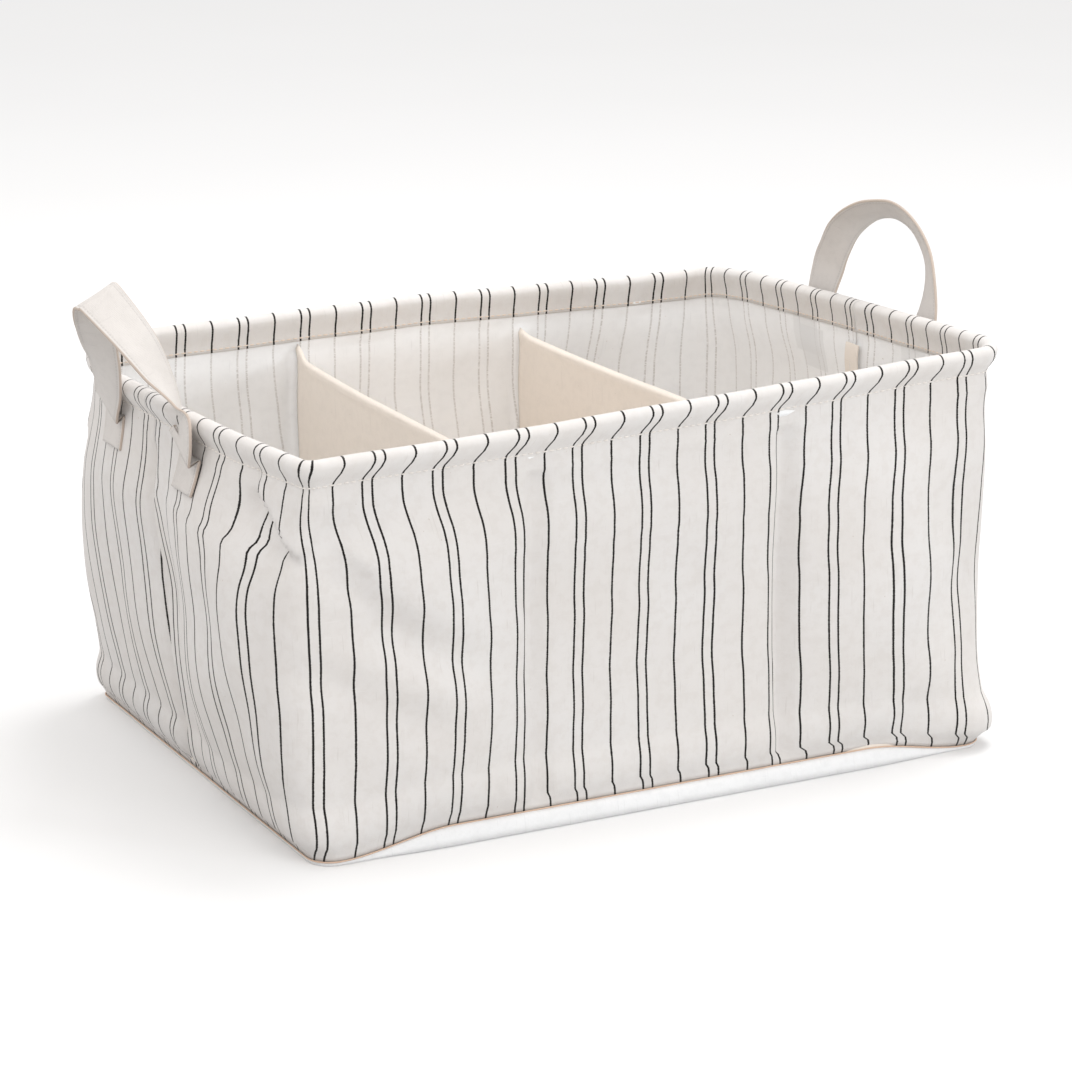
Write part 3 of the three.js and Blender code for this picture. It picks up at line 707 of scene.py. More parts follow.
def tube_faces(rings, count, closed=False, first=0):
    """Faces between rings of points, with a cap at each end of an open tube."""
    faces = []
    for i in range(rings if closed else rings - 1):
        near, far = first + i * count, first + (i + 1) % rings * count
        for j in range(count):
            k = (j + 1) % count
            faces.append((near + j, near + k, far + k, far + j))
    if not closed:
        last = first + (rings - 1) * count
        faces.append(tuple(first + j for j in reversed(range(count))))
        faces.append(tuple(last + j for j in range(count)))
    return faces


def swept(name, path, section, closed=False, cloth=False):
    """A closed tube of a flat section carried along (place, across, up) frames in millimetres."""
    points, places = [], []
    travelled = 0.0
    for i, (centre, across, up) in enumerate(path):
        if i:
            travelled += (centre - path[i - 1][0]).length
        for wide, high in section:
            points.append(centre + across * wide + up * high)
            places.append((travelled, wide))
    return new_object(name, points, tube_faces(len(path), len(section), closed), cloth and places)


def path_length(path, closed=False):
    """The length of a swept path along its middle."""
    spots = [row[0] for row in path]
    spots += spots[:1] if closed else []
    return sum((b - a).length for a, b in zip(spots, spots[1:]))


def cut_of(faces, cloth):
    """The width, length and area of the flat cloth in metres, from its cloth places."""
    across, up = [u for u, _ in cloth], [v for _, v in cloth]
    area = 0.0
    for face in faces:
        corners = [cloth[i] for i in face]
        turns = zip(corners, corners[1:] + corners[:1])
        area += abs(sum(a[0] * b[1] - b[0] * a[1] for a, b in turns)) / 2
    return ((max(across) - min(across)) * MM, (max(up) - min(up)) * MM), area * MM * MM


def settle(obj, node):
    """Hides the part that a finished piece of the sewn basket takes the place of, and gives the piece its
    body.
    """
    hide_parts(node)
    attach(obj, "basket")


# Shader maths
SMOOTH = {"interpolation_type": "SMOOTHSTEP"}
COLOR_MIX = {"data_type": "RGBA"}


def operation(kind, swapped=False):
    """A method of a socket that adds one maths node."""
    def method(self, *others):
        values = [*others, self] if swapped else [self, *others]
        return self.nodes.add("ShaderNodeMath", {"operation": kind}, values)["Value"]
    return method


class Socket:
    """A node output that takes part in Python expressions and adds the nodes that they need."""

    def __init__(self, nodes, output):
        self.nodes = nodes
        self.output = output

    __add__ = __radd__ = operation("ADD")
    __sub__ = operation("SUBTRACT")
    __rsub__ = operation("SUBTRACT", swapped=True)
    __mul__ = __rmul__ = operation("MULTIPLY")
    __truediv__ = operation("DIVIDE")
    at_least = operation("MAXIMUM")
    at_most = operation("MINIMUM")
    absolute = operation("ABSOLUTE")
    fraction = operation("FRACT")
    sine = operation("SINE")

    def band(self, low, high):
        """0 below the low value, 1 above the high one, smooth between."""
        values = {"Value": self, "From Min": low, "From Max": high}
        return self.nodes.add("ShaderNodeMapRange", SMOOTH, values)["Result"]


class Nodes:
    """The node tree of a material or a world, built by expressions."""

    def __init__(self, owner, output):
        owner.use_nodes = True
        self.tree = owner.node_tree
        self.tree.nodes.clear()
        self.output = self.tree.nodes.new(output)

    def add(self, kind, settings=None, values=()):
        """Any node: its settings first, then the values or links of its sockets."""
        node = self.tree.nodes.new(kind)
        for key, value in (settings or {}).items():
            setattr(node, key, value)
        for key, value in values.items() if isinstance(values, dict) else enumerate(values):
            socket = node.inputs[key]
            if isinstance(value, Socket):
                self.tree.links.new(value.output, socket)
            elif socket.type == "RGBA":
                socket.default_value = (*value, 1)
            else:
                socket.default_value = value
        return {output.name: Socket(self, output) for output in node.outputs if output.enabled}

    def end_with(self, shader):
        self.tree.links.new(shader.output, self.output.inputs[0])


class Finish(Nodes):
    """A material and its node tree."""

    def __init__(self, name):
        self.material = bpy.data.materials.new(name)
        super().__init__(self.material, "ShaderNodeOutputMaterial")

    def cloth(self):
        uv = self.add("ShaderNodeUVMap", {"uv_map": "Cloth"})["UV"]
        parts = self.add("ShaderNodeSeparateXYZ", None, [uv])
        return uv, parts["X"], parts["Y"]

    def place(self):
        return self.add("ShaderNodeTexCoord")["Object"]

    def noise(self, vector, scale, detail, roughness=0.5, stretch=None):
        if stretch:
            values = {"Vector": vector, "Scale": stretch}
            vector = self.add("ShaderNodeMapping", None, values)["Vector"]
        return self.add("ShaderNodeTexNoise", None, {
            "Vector": vector, "Scale": scale, "Detail": detail, "Roughness": roughness,
        })["Fac"]

    def mix_color(self, factor, a, b):
        return self.add("ShaderNodeMix", COLOR_MIX, {0: factor, 6: a, 7: b})["Result"]

    def bump(self, height, strength, distance):
        values = {"Strength": strength, "Distance": distance, "Height": height}
        return self.add("ShaderNodeBump", None, values)["Normal"]

    def surface(self, color, roughness, normal, sheen=0.0, metallic=0.0):
        self.end_with(self.add("ShaderNodeBsdfPrincipled", None, {
            "Base Color": color, "Roughness": roughness, "Normal": normal, "Metallic": metallic,
            "Sheen Weight": sheen, "Specular IOR Level": 0.2,
        })["BSDF"])
        return self.material


def shade(color, factor):
    return tuple(min(1, part * factor) for part in color)


def canvas_tone(finish, uv, light, warm):
    """Natural cotton: slow clouds of tone, slubs along both threads, and small seed flecks."""
    clouds = finish.noise(uv, 14, 3)
    slubs = finish.noise(uv, 1, 2, stretch=(900, 60, 1)).band(0.62, 0.8)
    weft = finish.noise(uv, 1, 2, stretch=(70, 1100, 1)).band(0.62, 0.8)
    tone = finish.mix_color(clouds.band(0.3, 0.7) * 0.5, light, warm)
    patches = finish.noise(uv, 160, 3, 0.65).band(0.42, 0.66)
    tone = finish.mix_color(patches * 0.32, tone, shade(warm, 0.93))
    tone = finish.mix_color(slubs * 0.5, tone, shade(warm, 0.84))
    tone = finish.mix_color(weft * 0.4, tone, shade(light, 1.05))
    seeds = finish.noise(uv, 620, 1).band(0.76, 0.82)
    sparse = finish.noise(uv, 90, 1).band(0.52, 0.6)
    return finish.mix_color(seeds * sparse * 0.5, tone, (0.34, 0.22, 0.13))


def woven(name, light, warm, thread, gap_shade):
    """The start of a canvas: its finish, cloth places, plain weave, tone and painted shade in its gaps.
    """
    finish = Finish(name)
    uv, u, v = finish.cloth()
    across = (u * (math.pi / (thread * MM))).sine()
    down = (v * (math.pi / (thread * MM))).sine()
    weave = (across * down).absolute() * 0.6 + (across.absolute() + down.absolute()) * 0.2
    tone = canvas_tone(finish, uv, light, warm)
    # painted shade: the gaps between the threads are darkened towards a deeper warm tone
    tone = finish.mix_color((1 - weave.band(0.0, 0.6)) * gap_shade, tone, shade(warm, 0.8))
    return finish, uv, u, v, weave, tone


def stripe_mask(finish, uv, u):
    """1 on a printed line: a pair of lines and a single line in each repeat, with ragged edges."""
    ragged = (finish.noise(uv, 1, 2, stretch=(300, 2200, 1)) - 0.5) * LINE_RAGGED * MM
    wander = (finish.noise(uv, 1, 1, stretch=(6, 45, 1)) - 0.5) * LINE_WANDER * MM
    turn = ((u + wander) / (STRIPE_REPEAT * MM) + 100.5).fraction()
    along = (turn - 0.5).absolute() * (STRIPE_REPEAT * MM)
    pair = (along - PAIR_SPACING / 2 * MM).absolute()
    single = along - STRIPE_REPEAT / 2 * MM
    from_line = pair.at_most(single.absolute()) + ragged
    half = STRIPE_WIDTH / 2 * MM
    return 1 - from_line.band(half - LINE_EDGE[0] * MM, half + LINE_EDGE[1] * MM)


def striped_canvas(name, light, warm, ink, strength, cover=1.0, patches=()):
    finish, uv, u, v, weave, tone = woven(name, light, warm, STRIPED_THREAD, 0.12)
    mask = stripe_mask(finish, uv, u)
    broken = finish.noise(uv, 1, 2, stretch=(500, 1500, 1)).band(0.3, 0.62)
    tone = finish.mix_color(mask * ((broken * (1 - strength) + strength) * cover), tone, ink)
    # painted shadow: darker rectangles on the inner face where the straps' sewn ends lie behind the cloth
    for middle_u, middle_v, half_u, half_v in patches:
        inside = 1 - (u - middle_u * MM).absolute().band(half_u * MM, (half_u + 1) * MM)
        inside = inside * (1 - (v - middle_v * MM).absolute().band(half_v * MM, (half_v + 1) * MM))
        tone = finish.mix_color(inside * 0.55, tone, shade(warm, 0.84))
    fuzz = finish.noise(uv, 1400, 2)
    height = weave * 0.6 + fuzz * 0.5 + finish.noise(uv, 1, 2, stretch=(900, 60, 1)) * 0.5
    return finish.surface(tone, 0.92, finish.bump(height, 0.35, 0.00035), sheen=0.15)


def plain_canvas(name, light, warm, thread=PLAIN_THREAD, edge=None):
    finish, uv, u, v, weave, tone = woven(name, light, warm, thread, 0.15)
    height = weave * 0.7 + finish.noise(uv, 1200, 2) * 0.5
    if edge:
        # a strap: it is painted browner along its edges, and a row of stitches runs inside each of them
        side = v.absolute()
        fold = side.band((edge - 0.9) * MM, (edge - 0.3) * MM)
        edge_brown = tuple(part * factor for part, factor in zip(warm, (0.8, 0.68, 0.58)))
        tone = finish.mix_color(fold * 0.75, tone, edge_brown)
        row = 1 - (side - (edge - 2.4) * MM).absolute().band(0.2 * MM, 0.55 * MM)
        dashes = (u * (math.pi / (STRAP_STITCH * MM))).sine().absolute().band(0.25, 0.5)
        tone = finish.mix_color(row * dashes * 0.45, tone, shade(warm, 0.8))
        height = height + row * dashes * 1.5
    return finish.surface(tone, 0.94, finish.bump(height, 0.4, 0.0004), sheen=0.15)


def fibre_board():
    finish = Finish("fibre_board")
    place = finish.place()
    fibres = finish.noise(place, 1, 3, stretch=(900, 260, 400))
    flecks = finish.noise(place, 700, 2).band(0.6, 0.75)
    tone = finish.mix_color(fibres, (0.42, 0.29, 0.17), (0.58, 0.42, 0.26))
    tone = finish.mix_color(flecks * 0.5, tone, (0.3, 0.19, 0.1))
    return finish.surface(tone, 0.8, finish.bump(fibres, 0.3, 0.0003))


def spring_steel():
    finish = Finish("spring_steel")
    drawn = finish.noise(finish.place(), 1, 3, stretch=(60, 60, 900))
    tone = finish.mix_color(drawn, (0.5, 0.51, 0.52), (0.62, 0.62, 0.63))
    return finish.surface(tone, 0.32, finish.bump(drawn, 0.1, 0.0001), metallic=1.0)


def sewing_thread(name, dark, light):
    finish = Finish(name)
    twist = finish.noise(finish.place(), 2600, 2)
    tone = finish.mix_color(twist, dark, light)
    return finish.surface(tone, 0.85, finish.bump(twist, 0.4, 0.0002))


# Settings: the sizes and colours that a user would change
def color_setting(name, about, color):
    return FloatVectorProperty(
        name=name, description=about, default=color, subtype="COLOR", min=0, max=1)


def number_setting(name, about, value, low, high, unit="NONE"):
    return FloatProperty(
        name=name, description=about, default=value, min=low, max=high, unit=unit)


class BasketSettings(bpy.types.PropertyGroup):
    canvas_light: color_setting(
        "Canvas", "Colour of the striped cloth where it is palest", (0.755, 0.735, 0.72))
    canvas_warm: color_setting(
        "Canvas Tone", "Warmer tone that clouds the striped cloth", (0.715, 0.675, 0.64))
    ink: color_setting(
        "Stripe", "Colour of the stripes on the face of the cloth", (0.006, 0.004, 0.0035))
    lining: color_setting(
        "Plain Canvas", "Colour of the dividers, the lining and the tapes", (0.92, 0.84, 0.755))
    # Painted light: this is much paler and cooler than the canvas face, so the inner faces of the striped
    # cloth look lit by light coming through it; the base shares this colour.
    inside: color_setting(
        "Inside", "Colour of the unprinted side of the striped cloth, and of the base",
        (0.95, 0.955, 0.96))
    strap: color_setting("Strap", "Colour of the strap handles", (0.7, 0.665, 0.635))
    stitch: number_setting(
        "Stitch", "Length of one stitch with its gap", 3.6 * MM, 1 * MM, 10 * MM, "LENGTH")
    sag: number_setting(
        "Divider Sag", "How far the top edge of a divider hangs in its middle",
        1.5 * MM, 0, 10 * MM, "LENGTH")
    strap_steps: IntProperty(
        name="Strap Steps", description="Steps along each strap", default=120, min=40, max=300)


class StageSettings(bpy.types.PropertyGroup):
    lens: number_setting("Lens", "Focal length of the camera in millimetres", 116.15, 20, 300)
    sky: number_setting("Sky", "Strength of the even light from all round", 0.9, 0, 3)
    key: number_setting("Key", "Power of the low light from the front right, in watts", 11, 0, 500)
    main: number_setting(
        "Main", "Power of the soft light from the front and above, in watts", 7, 0, 500)
    fill: number_setting(
        "Fill", "Power of the warm light from the upper left, in watts", 6, 0, 500)
    top: number_setting("Top", "Power of the light from above, in watts", 12, 0, 500)


def settings():
    return bpy.context.scene.basket


def cloth_materials():
    """The cloth finishes, made once and shared by the pieces."""
    if "striped_canvas_face" in bpy.data.materials:
        return bpy.data.materials
    s = settings()
    light, warm, ink, lining, inside, strap = (
        tuple(color) for color in (s.canvas_light, s.canvas_warm, s.ink, s.lining, s.inside, s.strap)
    )
    striped_canvas("striped_canvas_face", light, warm, ink, 0.97)
    # painted light: the back of the striped cloth takes the pale inside colour, which stands in for light
    # coming through the cloth
    striped_canvas("striped_canvas_back", inside, shade(inside, 0.97), (0.5, 0.47, 0.45), 0.1,
                   cover=0.62, patches=strap_shadow_patches())
    plain_canvas("divider_canvas", lining, shade(lining, 0.96))
    plain_canvas("strap_face", strap, shade(strap, 0.94), STRAP_THREAD, edge=STRAP_WIDTH / 2)
    plain_canvas("binding_tape", shade(lining, 0.95), shade(lining, 0.96))
    plain_canvas("base_canvas", shade(inside, 0.985), shade(inside, 0.93))
    sewing_thread("sewing_thread", (0.72, 0.6, 0.5), (0.86, 0.76, 0.67))
    sewing_thread("pale_thread", (0.78, 0.74, 0.69), (0.84, 0.8, 0.76))
    sewing_thread("seam_thread", (0.66, 0.45, 0.32), (0.78, 0.6, 0.48))
    return bpy.data.materials


def strap_shadow_patches():
    """Where the straps' sewn ends cast painted shadow through the end walls: place, height and half
    sizes.
    """
    patches = []
    for side, rows in HANDLES.items():
        for _, y, z, _, _ in (rows[0], rows[-1]):
            from_seam = abs(y - SIDE_SEAM[side])
            front = y < SIDE_SEAM[side]
            places = (FRONT_PANEL if front else BACK_PANEL).places
            place = places[0] + from_seam if front == (side == "left") else places[-1] - from_seam
            patches.append((place, z - SEWN_END / 2 + 2, STRAP_WIDTH / 2, SEWN_END / 2 + 1))
    return patches


def make_wall(name, panel, node):
    points, faces, cloth = wall_mesh(panel)
    obj = new_object(name, points, faces, cloth)
    flat, area = cut_of(faces, cloth)
    materials = cloth_materials()
    finish_with(obj, materials["striped_canvas_face"], materials["striped_canvas_back"])
    thicken(obj, inner_material=1)
    settle(obj, node)


class BASKET_OT_walls(bpy.types.Operator):
    """Sew the two striped panels, with the hem rolled over the rim wire"""
    bl_idname = "basket.walls"
    bl_label = "Walls"

    def execute(self, context):
        make_wall("front_panel", FRONT_PANEL, "wall_front")
        make_wall("back_panel", BACK_PANEL, "wall_back")
        return {"FINISHED"}


def base_loop():
    """Stations all round the base."""
    return run_stations(FRONT_RUN) + run_stations(BACK_RUN)[1:-1]


def rim_path():
    """The middle of the hem's roll, all round the rim."""
    path = []
    for panel in (FRONT_PANEL, BACK_PANEL):
        for i in range(len(panel.stations) - 1):
            centre, _ = panel.hem_point(i, ROLL_RADIUS, ROLL_RADIUS, 0)
            _, _, out_x, out_y = panel.stations[i](1)
            path.append((centre, Vector((out_x, out_y, 0)), UP))
    return path


class BASKET_OT_base(bpy.types.Operator):
    """Lay the base with its upturned edge, its board, lining and tapes, and the rim's wire"""
    bl_idname = "basket.base"
    bl_label = "Base"

    def execute(self, context):
        self.panel()
        self.lining()
        self.binding()
        self.side_tape("left")
        self.side_tape("right")
        finish_with(frame["nodes"]["base_board"], fibre_board())
        self.wires()
        return {"FINISHED"}

    def panel(self):
        """The base cloth: flat underneath, turned up to the seam, with puckers at the dividers."""
        stations = base_loop()
        # for each ring: how much of the outward spread is gone, and its share of the lip's height
        rings = ((0, 0), (0, 0.06), (0.25, 0.4), (0.55, 0.7), (1, 1))
        points, cloth = [], []
        for share_up, height in rings:
            for station in stations:
                x, y, out_x, out_y = station(0)
                lip = lip_height(x, out_y)
                long_share = (lip - SHORT_LIP) / (LONG_LIP - SHORT_LIP)
                away = LIP_SPREAD * long_share * (1 - share_up * 0.85)
                wave = 0.5 * rough(x * 0.05, y * 0.05, 0) * long_share
                seams = FRONT_SEAMS if out_y < 0 else BACK_SEAMS
                pucker = sum(hump(x - seam, 5) - 0.6 * hump(x - seam - 9, 4) for seam in seams)
                away += (wave + 0.8 * pucker * height) * (1 if 0.1 < height < 0.9 else 0.3)
                if not height:
                    away -= 2.5
                level = lip * height
                points.append(Vector((x + out_x * away, y + out_y * away, max(0.0, level))))
                cloth.append((x + y * 0.3, y + level))
        count = len(stations)
        middle = len(points)
        points.append(Vector((0, 0, 0)))
        cloth.append((0, 0))
        faces = []
        for i in range(count):
            k = (i + 1) % count
            faces.append((middle, k, i))
            for ring in range(len(rings) - 1):
                near, far = ring * count, (ring + 1) * count
                faces.append((near + i, near + k, far + k, far + i))
        obj = new_object("base_panel_cloth", points, faces, cloth)
        finish_with(obj, cloth_materials()["base_canvas"])
        thicken(obj)
        settle(obj, "base_panel")

    def lining(self):
        """The lining of the floor: a sheet that lies on the board in slow waves."""
        _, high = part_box("base_lining")
        columns, rows = 90, 70
        points, cloth = [], []
        half_x, half_y = high[0] / MM, high[1] / MM
        for i in range(columns + 1):
            for j in range(rows + 1):
                x = mix(-half_x, half_x, i / columns)
                y = mix(-half_y, half_y, j / rows)
                over_x = abs(x) - (half_x - BASE_RADIUS)
                over_y = abs(y) - (half_y - BASE_RADIUS)
                if over_x > 0 and over_y > 0:
                    scale = max(over_x, over_y) / math.hypot(over_x, over_y)
                    x = math.copysign(half_x - BASE_RADIUS + over_x * scale, x)
                    y = math.copysign(half_y - BASE_RADIUS + over_y * scale, y)
                wave = rough(x * 0.02, y * 0.02, 1)
                points.append(Vector((x, y, high[2] / MM + LINING_LIFT + LINING_WAVE * wave)))
                cloth.append((x, y))
        faces = grid_faces(columns, rows)
        obj = new_object("base_lining_cloth", points, faces, cloth)
        flat, area = cut_of(faces, cloth)
        finish_with(obj, cloth_materials()["divider_canvas"])
        thicken(obj)
        settle(obj, "base_lining")

    def binding(self):
        """Binding over the allowances of the base seam."""
        low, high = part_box("base_seam_tape")
        middle = (low[2] + high[2]) / 2 / MM
        path = []
        for station in base_loop():
            x, y, out_x, out_y = station(middle / BODY_HEIGHT)
            out = Vector((out_x, out_y, 0))
            centre = Vector((x, y, middle)) - out * (CANVAS + SEWN_GAP + 0.9)
            path.append((centre, -out, UP))
        half = TAPE_WIDTH / 2
        section = [(-0.45, -half), (0.45, -half), (0.6, 0), (0.45, half), (-0.45, half), (-0.6, 0)]
        self.tape("base_seam_binding", path, section, "base_seam_tape", closed=True)

    def side_tape(self, side):
        """Bound allowances of a side seam, up to the hem."""
        low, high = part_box(f"side_seam_tape_{side}")
        path = []
        run = Vector((*SIDES[side]["along"], 0))
        for i in range(TAPE_STEPS + 1):
            height = mix(low[2] / MM + 1, high[2] / MM, i / TAPE_STEPS)
            point, out = wall_outer(side, seams_of(side)[0], height)
            recess = TAPE_INSET + drawn_in(height, high[2] / MM)
            path.append((point - out * (CANVAS + 1.2 + recess), run, out))
        half = TAPE_WIDTH / 2
        section = [(-half, -0.5), (0, -0.7), (half, -0.5), (half, 0.5), (0, 0.6), (-half, 0.5)]
        self.tape(f"side_seam_binding_{side}", path, section, f"side_seam_tape_{side}")

    def tape(self, name, path, section, node, closed=False):
        obj = swept(name, path, section, closed, cloth=True)
        finish_with(obj, cloth_materials()["binding_tape"])
        apply(obj, "BEVEL", width=TAPE_BEVEL * MM, segments=2, limit_method="ANGLE")
        flat = TAPE_WIDTH * MM, path_length(path, closed) * MM
        settle(obj, node)

    def wires(self):
        """The wire round the rim and its sleeve, inside the hem's roll."""
        path = rim_path()
        low, high = (Vector(corner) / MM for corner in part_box("rim_wire_ferrule"))
        sleeve = [
            row for row in path
            if low.x - 1 < row[0].x < high.x + 1 and low.y - 1 < row[0].y < high.y + 1
        ]
        steel = spring_steel()
        for name, node, middle, radius, closed in (
            ("rim_wire_ring", "rim_wire", path, WIRE_RADIUS, True),
            ("rim_wire_sleeve", "rim_wire_ferrule", sleeve, SLEEVE_RADIUS, False),
        ):
            turns = [HALF_TURN * i / 6 for i in range(12)]
            section = [(radius * math.cos(turn), radius * math.sin(turn)) for turn in turns]
            obj = swept(name, middle, section, closed)
            weld_and_face_out(obj)
            finish_with(obj, steel)
            settle(obj, node)


class BASKET_OT_dividers(bpy.types.Operator):
    """Sew the two dividers between the front and the back wall"""
    bl_idname = "basket.dividers"
    bl_label = "Dividers"

    def execute(self, context):
        self.divider("left", FRONT_SEAMS[0], BACK_SEAMS[0], 7)
        self.divider("right", FRONT_SEAMS[1], BACK_SEAMS[1], 2)
        return {"FINISHED"}

    def divider(self, name, front, back, ear):
        """A folded double layer: its top edge is the fold, and sags a little in the middle.

        Beside the back wall the edge rises into an ear of the given height."""
        low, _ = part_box(f"divider_{name}")
        floor = low[2] / MM
        columns, rows = 110, 60
        points, cloth = [], []
        sag = settings().sag / MM
        front_top = rim_height(front, -RIM_WIDTH / 2) - DIVIDER_DROP
        back_top = rim_height(back, RIM_WIDTH / 2) - DIVIDER_DROP
        for face in (1, -1):
            for i in range(columns + 1):
                along = i / columns
                x = mix(front, back, along)
                top = mix(front_top, back_top, along) - sag * math.sin(HALF_TURN * along)
                top += ear * hump((1 - along) * RIM_WIDTH, 5)
                for j in range(rows + 1):
                    up = j / rows
                    height = mix(floor, top, up)
                    near = self.wall_inner("front", front, height)
                    y = mix(near, self.wall_inner("back", back, height), along)
                    # the cloth bends a little sideways, but not at its sewn ends
                    bend = UNEVEN_BEND * rough(y * 0.018, height * 0.02, back * 0.1)
                    across = math.sin(HALF_TURN * along)
                    bend += SLOW_BEND * across * math.sin(2.2 * along + height * 0.01)
                    bend *= across ** 0.5 if 0 < along < 1 else 0
                    # half the thickness: round at the fold, and a little fuller just below it
                    rounded = max(0, (up - (1 - FOLD_SHARE)) / FOLD_SHARE)
                    half = DIVIDER_HALF * math.sqrt(max(0.0, 1 - rounded ** 2))
                    half += 0.5 * hump((top - height) - 3, 2.2) if top - height < 9 else 0
                    half = half if up < 1 else 0.0
                    points.append(Vector((x + bend + face * half, y, height)))
                    cloth.append((y + face * FACE_APART, height))
        count = (columns + 1) * (rows + 1)
        side = grid_faces(columns, rows)
        faces = side + [tuple(reversed(quad)) for quad in grid_faces(columns, rows, count)]
        for i in range(columns):
            a = i * (rows + 1)
            b = a + rows + 1
            faces.append((a, a + count, b + count, b))
        for i in (0, columns):
            for j in range(rows):
                a = i * (rows + 1) + j
                quad = (a, a + 1, a + 1 + count, a + count)
                faces.append(quad if i == 0 else tuple(reversed(quad)))
        obj = new_object(f"divider_{name}_cloth", points, faces, cloth)
        weld_and_face_out(obj)
        finish_with(obj, cloth_materials()["divider_canvas"])
        flat, area = cut_of(side, [(point.y, point.z) for point in points])
        settle(obj, f"divider_{name}")

    def wall_inner(self, side, x, height):
        """Where the inner face of the front or back wall stands beside a divider."""
        point, _ = wall_outer(side, x if side == "front" else -x, height)
        top = rim_height(x, point.y) - HEM_FADE
        recess = drawn_in(height, top) + 2.4 if height > CLOSE_BELOW else 1.6
        sign = -1 if side == "front" else 1
        return point.y - sign * (CANVAS + 0.4 + recess)


def joint_of(side):
    name = f"handle_{side}_swing"
    return next(joint for joint in frame["record"]["behaviour"]["joints"] if joint["name"] == name)


def catmull(points, share):
    """Point of a smooth curve through points, at a share of its number of spans."""
    spans = len(points) - 1
    place = clamp(share) * spans
    index = min(int(place), spans - 1)
    t = place - index
    p1, p2 = points[index], points[index + 1]
    p0 = points[index - 1] if index else p1 * 2 - p2
    p3 = points[index + 2] if index + 2 <= spans else p2 * 2 - p1
    return 0.5 * (
        2 * p1 + (p2 - p0) * t + (2 * p0 - 5 * p1 + 4 * p2 - p3) * t ** 2
        + (3 * p1 - p0 - 3 * p2 + p3) * t ** 3
    )


class BASKET_OT_straps(bpy.types.Operator):
    """Sew the two strap handles: each one strap from sewn end to sewn end"""
    bl_idname = "basket.straps"
    bl_label = "Straps"

    def execute(self, context):
        for side in HANDLES:
            self.strap(side)
        return {"FINISHED"}

    def strap(self, side):
        """One strap: flat on the wall at its sewn ends, and turned edge-on over the arch."""
        hinge = Vector(joint_of(side)["pos_m"]) / MM
        route = [Vector(row) for row in HANDLES[side]]
        out = Vector((SIDES[side]["out"][0], 0, 0))
        crest = Vector(max(route, key=lambda row: row[2])[:3])
        heart = hinge.lerp(crest, HEART_SHARE)
        samples = [catmull(route, i / ROUTE_SAMPLES) for i in range(ROUTE_SAMPLES + 1)]
        lengths = [0.0]
        for a, b in zip(samples, samples[1:]):
            lengths.append(lengths[-1] + math.dist(a[:3], b[:3]))
        total = lengths[-1]

        def on_curve(distance):
            after = (i for i, length in enumerate(lengths) if length > distance)
            index = max(0, next(after, ROUTE_SAMPLES) - 1)
            t = (distance - lengths[index]) / (lengths[index + 1] - lengths[index])
            return samples[index] + (samples[index + 1] - samples[index]) * clamp(t)

        path = []
        steps = settings().strap_steps
        for i in range(steps + 1):
            distance = total * i / steps
            row = on_curve(distance)
            centre = Vector(row[:3])
            ahead, behind = on_curve(min(total, distance + 1)), on_curve(max(0, distance - 1))
            run = (Vector(ahead[:3]) - Vector(behind[:3])).normalized()
            turn = math.radians(row[3])
            away = centre - heart
            away = (away - run * away.dot(run)).normalized()
            face = (out - run * out.dot(run)).normalized()
            face = (face - away * face.dot(away)).normalized()
            through = face * math.cos(turn) + away * math.sin(turn)
            path.append((centre, through.cross(run).normalized() * row[4], through))
        whole = self.with_ends(side, path)
        obj = self.band(side, whole)
        path_length(whole) * MM
        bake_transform(obj)
        handle = f"handle_{side}"
        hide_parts(f"{handle}_loop", f"{handle}_end_front", f"{handle}_end_back")

    def with_ends(self, side, path):
        """Adds the two sewn ends, which lie flat on the wall below the hinge line."""
        out = Vector((SIDES[side]["out"][0], 0, 0))
        facing = -1 if HANDLES[side][0][3] > 90 else 1
        ends = []
        for start, sign in ((path[0][0], 1), (path[-1][0], -1)):
            frames = []
            for i in range(SEWN_STEPS + 1):
                height = start.z - SEWN_END + (SEWN_END - 2.5) * i / SEWN_STEPS
                frames.append(outer_face(side, start.y, height) + out * (STRAP / 2 + 0.3))
            rows = []
            for i, point in enumerate(frames):
                ahead = frames[min(i + 1, SEWN_STEPS)] - frames[max(i - 1, 0)]
                run = ahead.normalized() * sign
                through = (out - run * out.dot(run)).normalized() * facing
                rows.append((point, through.cross(run).normalized(), through))
            ends.append(rows if sign > 0 else rows[::-1])
        return ends[0] + path[1:-1] + ends[1]

    def band(self, side, path):
        """The strap's body: each edge is a rounded fold with a groove of stitching beside it."""
        half = STRAP_WIDTH / 2
        # inset from the edge, and height as a share of half the thickness
        edge = ((0, 0), (0.3, 0.85), (1.2, 1), (2.0, 0.62), (2.8, 0.95), (half - 4, 0.9))
        left = [(inset - half, STRAP / 2 * share) for inset, share in edge]
        right = [(half - inset, STRAP / 2 * share) for inset, share in reversed(edge)]
        outline = left + [(0, STRAP / 2 * 0.86)] + right
        section = outline + [(wide, -high) for wide, high in reversed(outline[1:-1])]
        obj = swept(f"strap_{side}", path, section, cloth=True)
        weld_and_face_out(obj)
        finish_with(obj, cloth_materials()["strap_face"])
        return obj


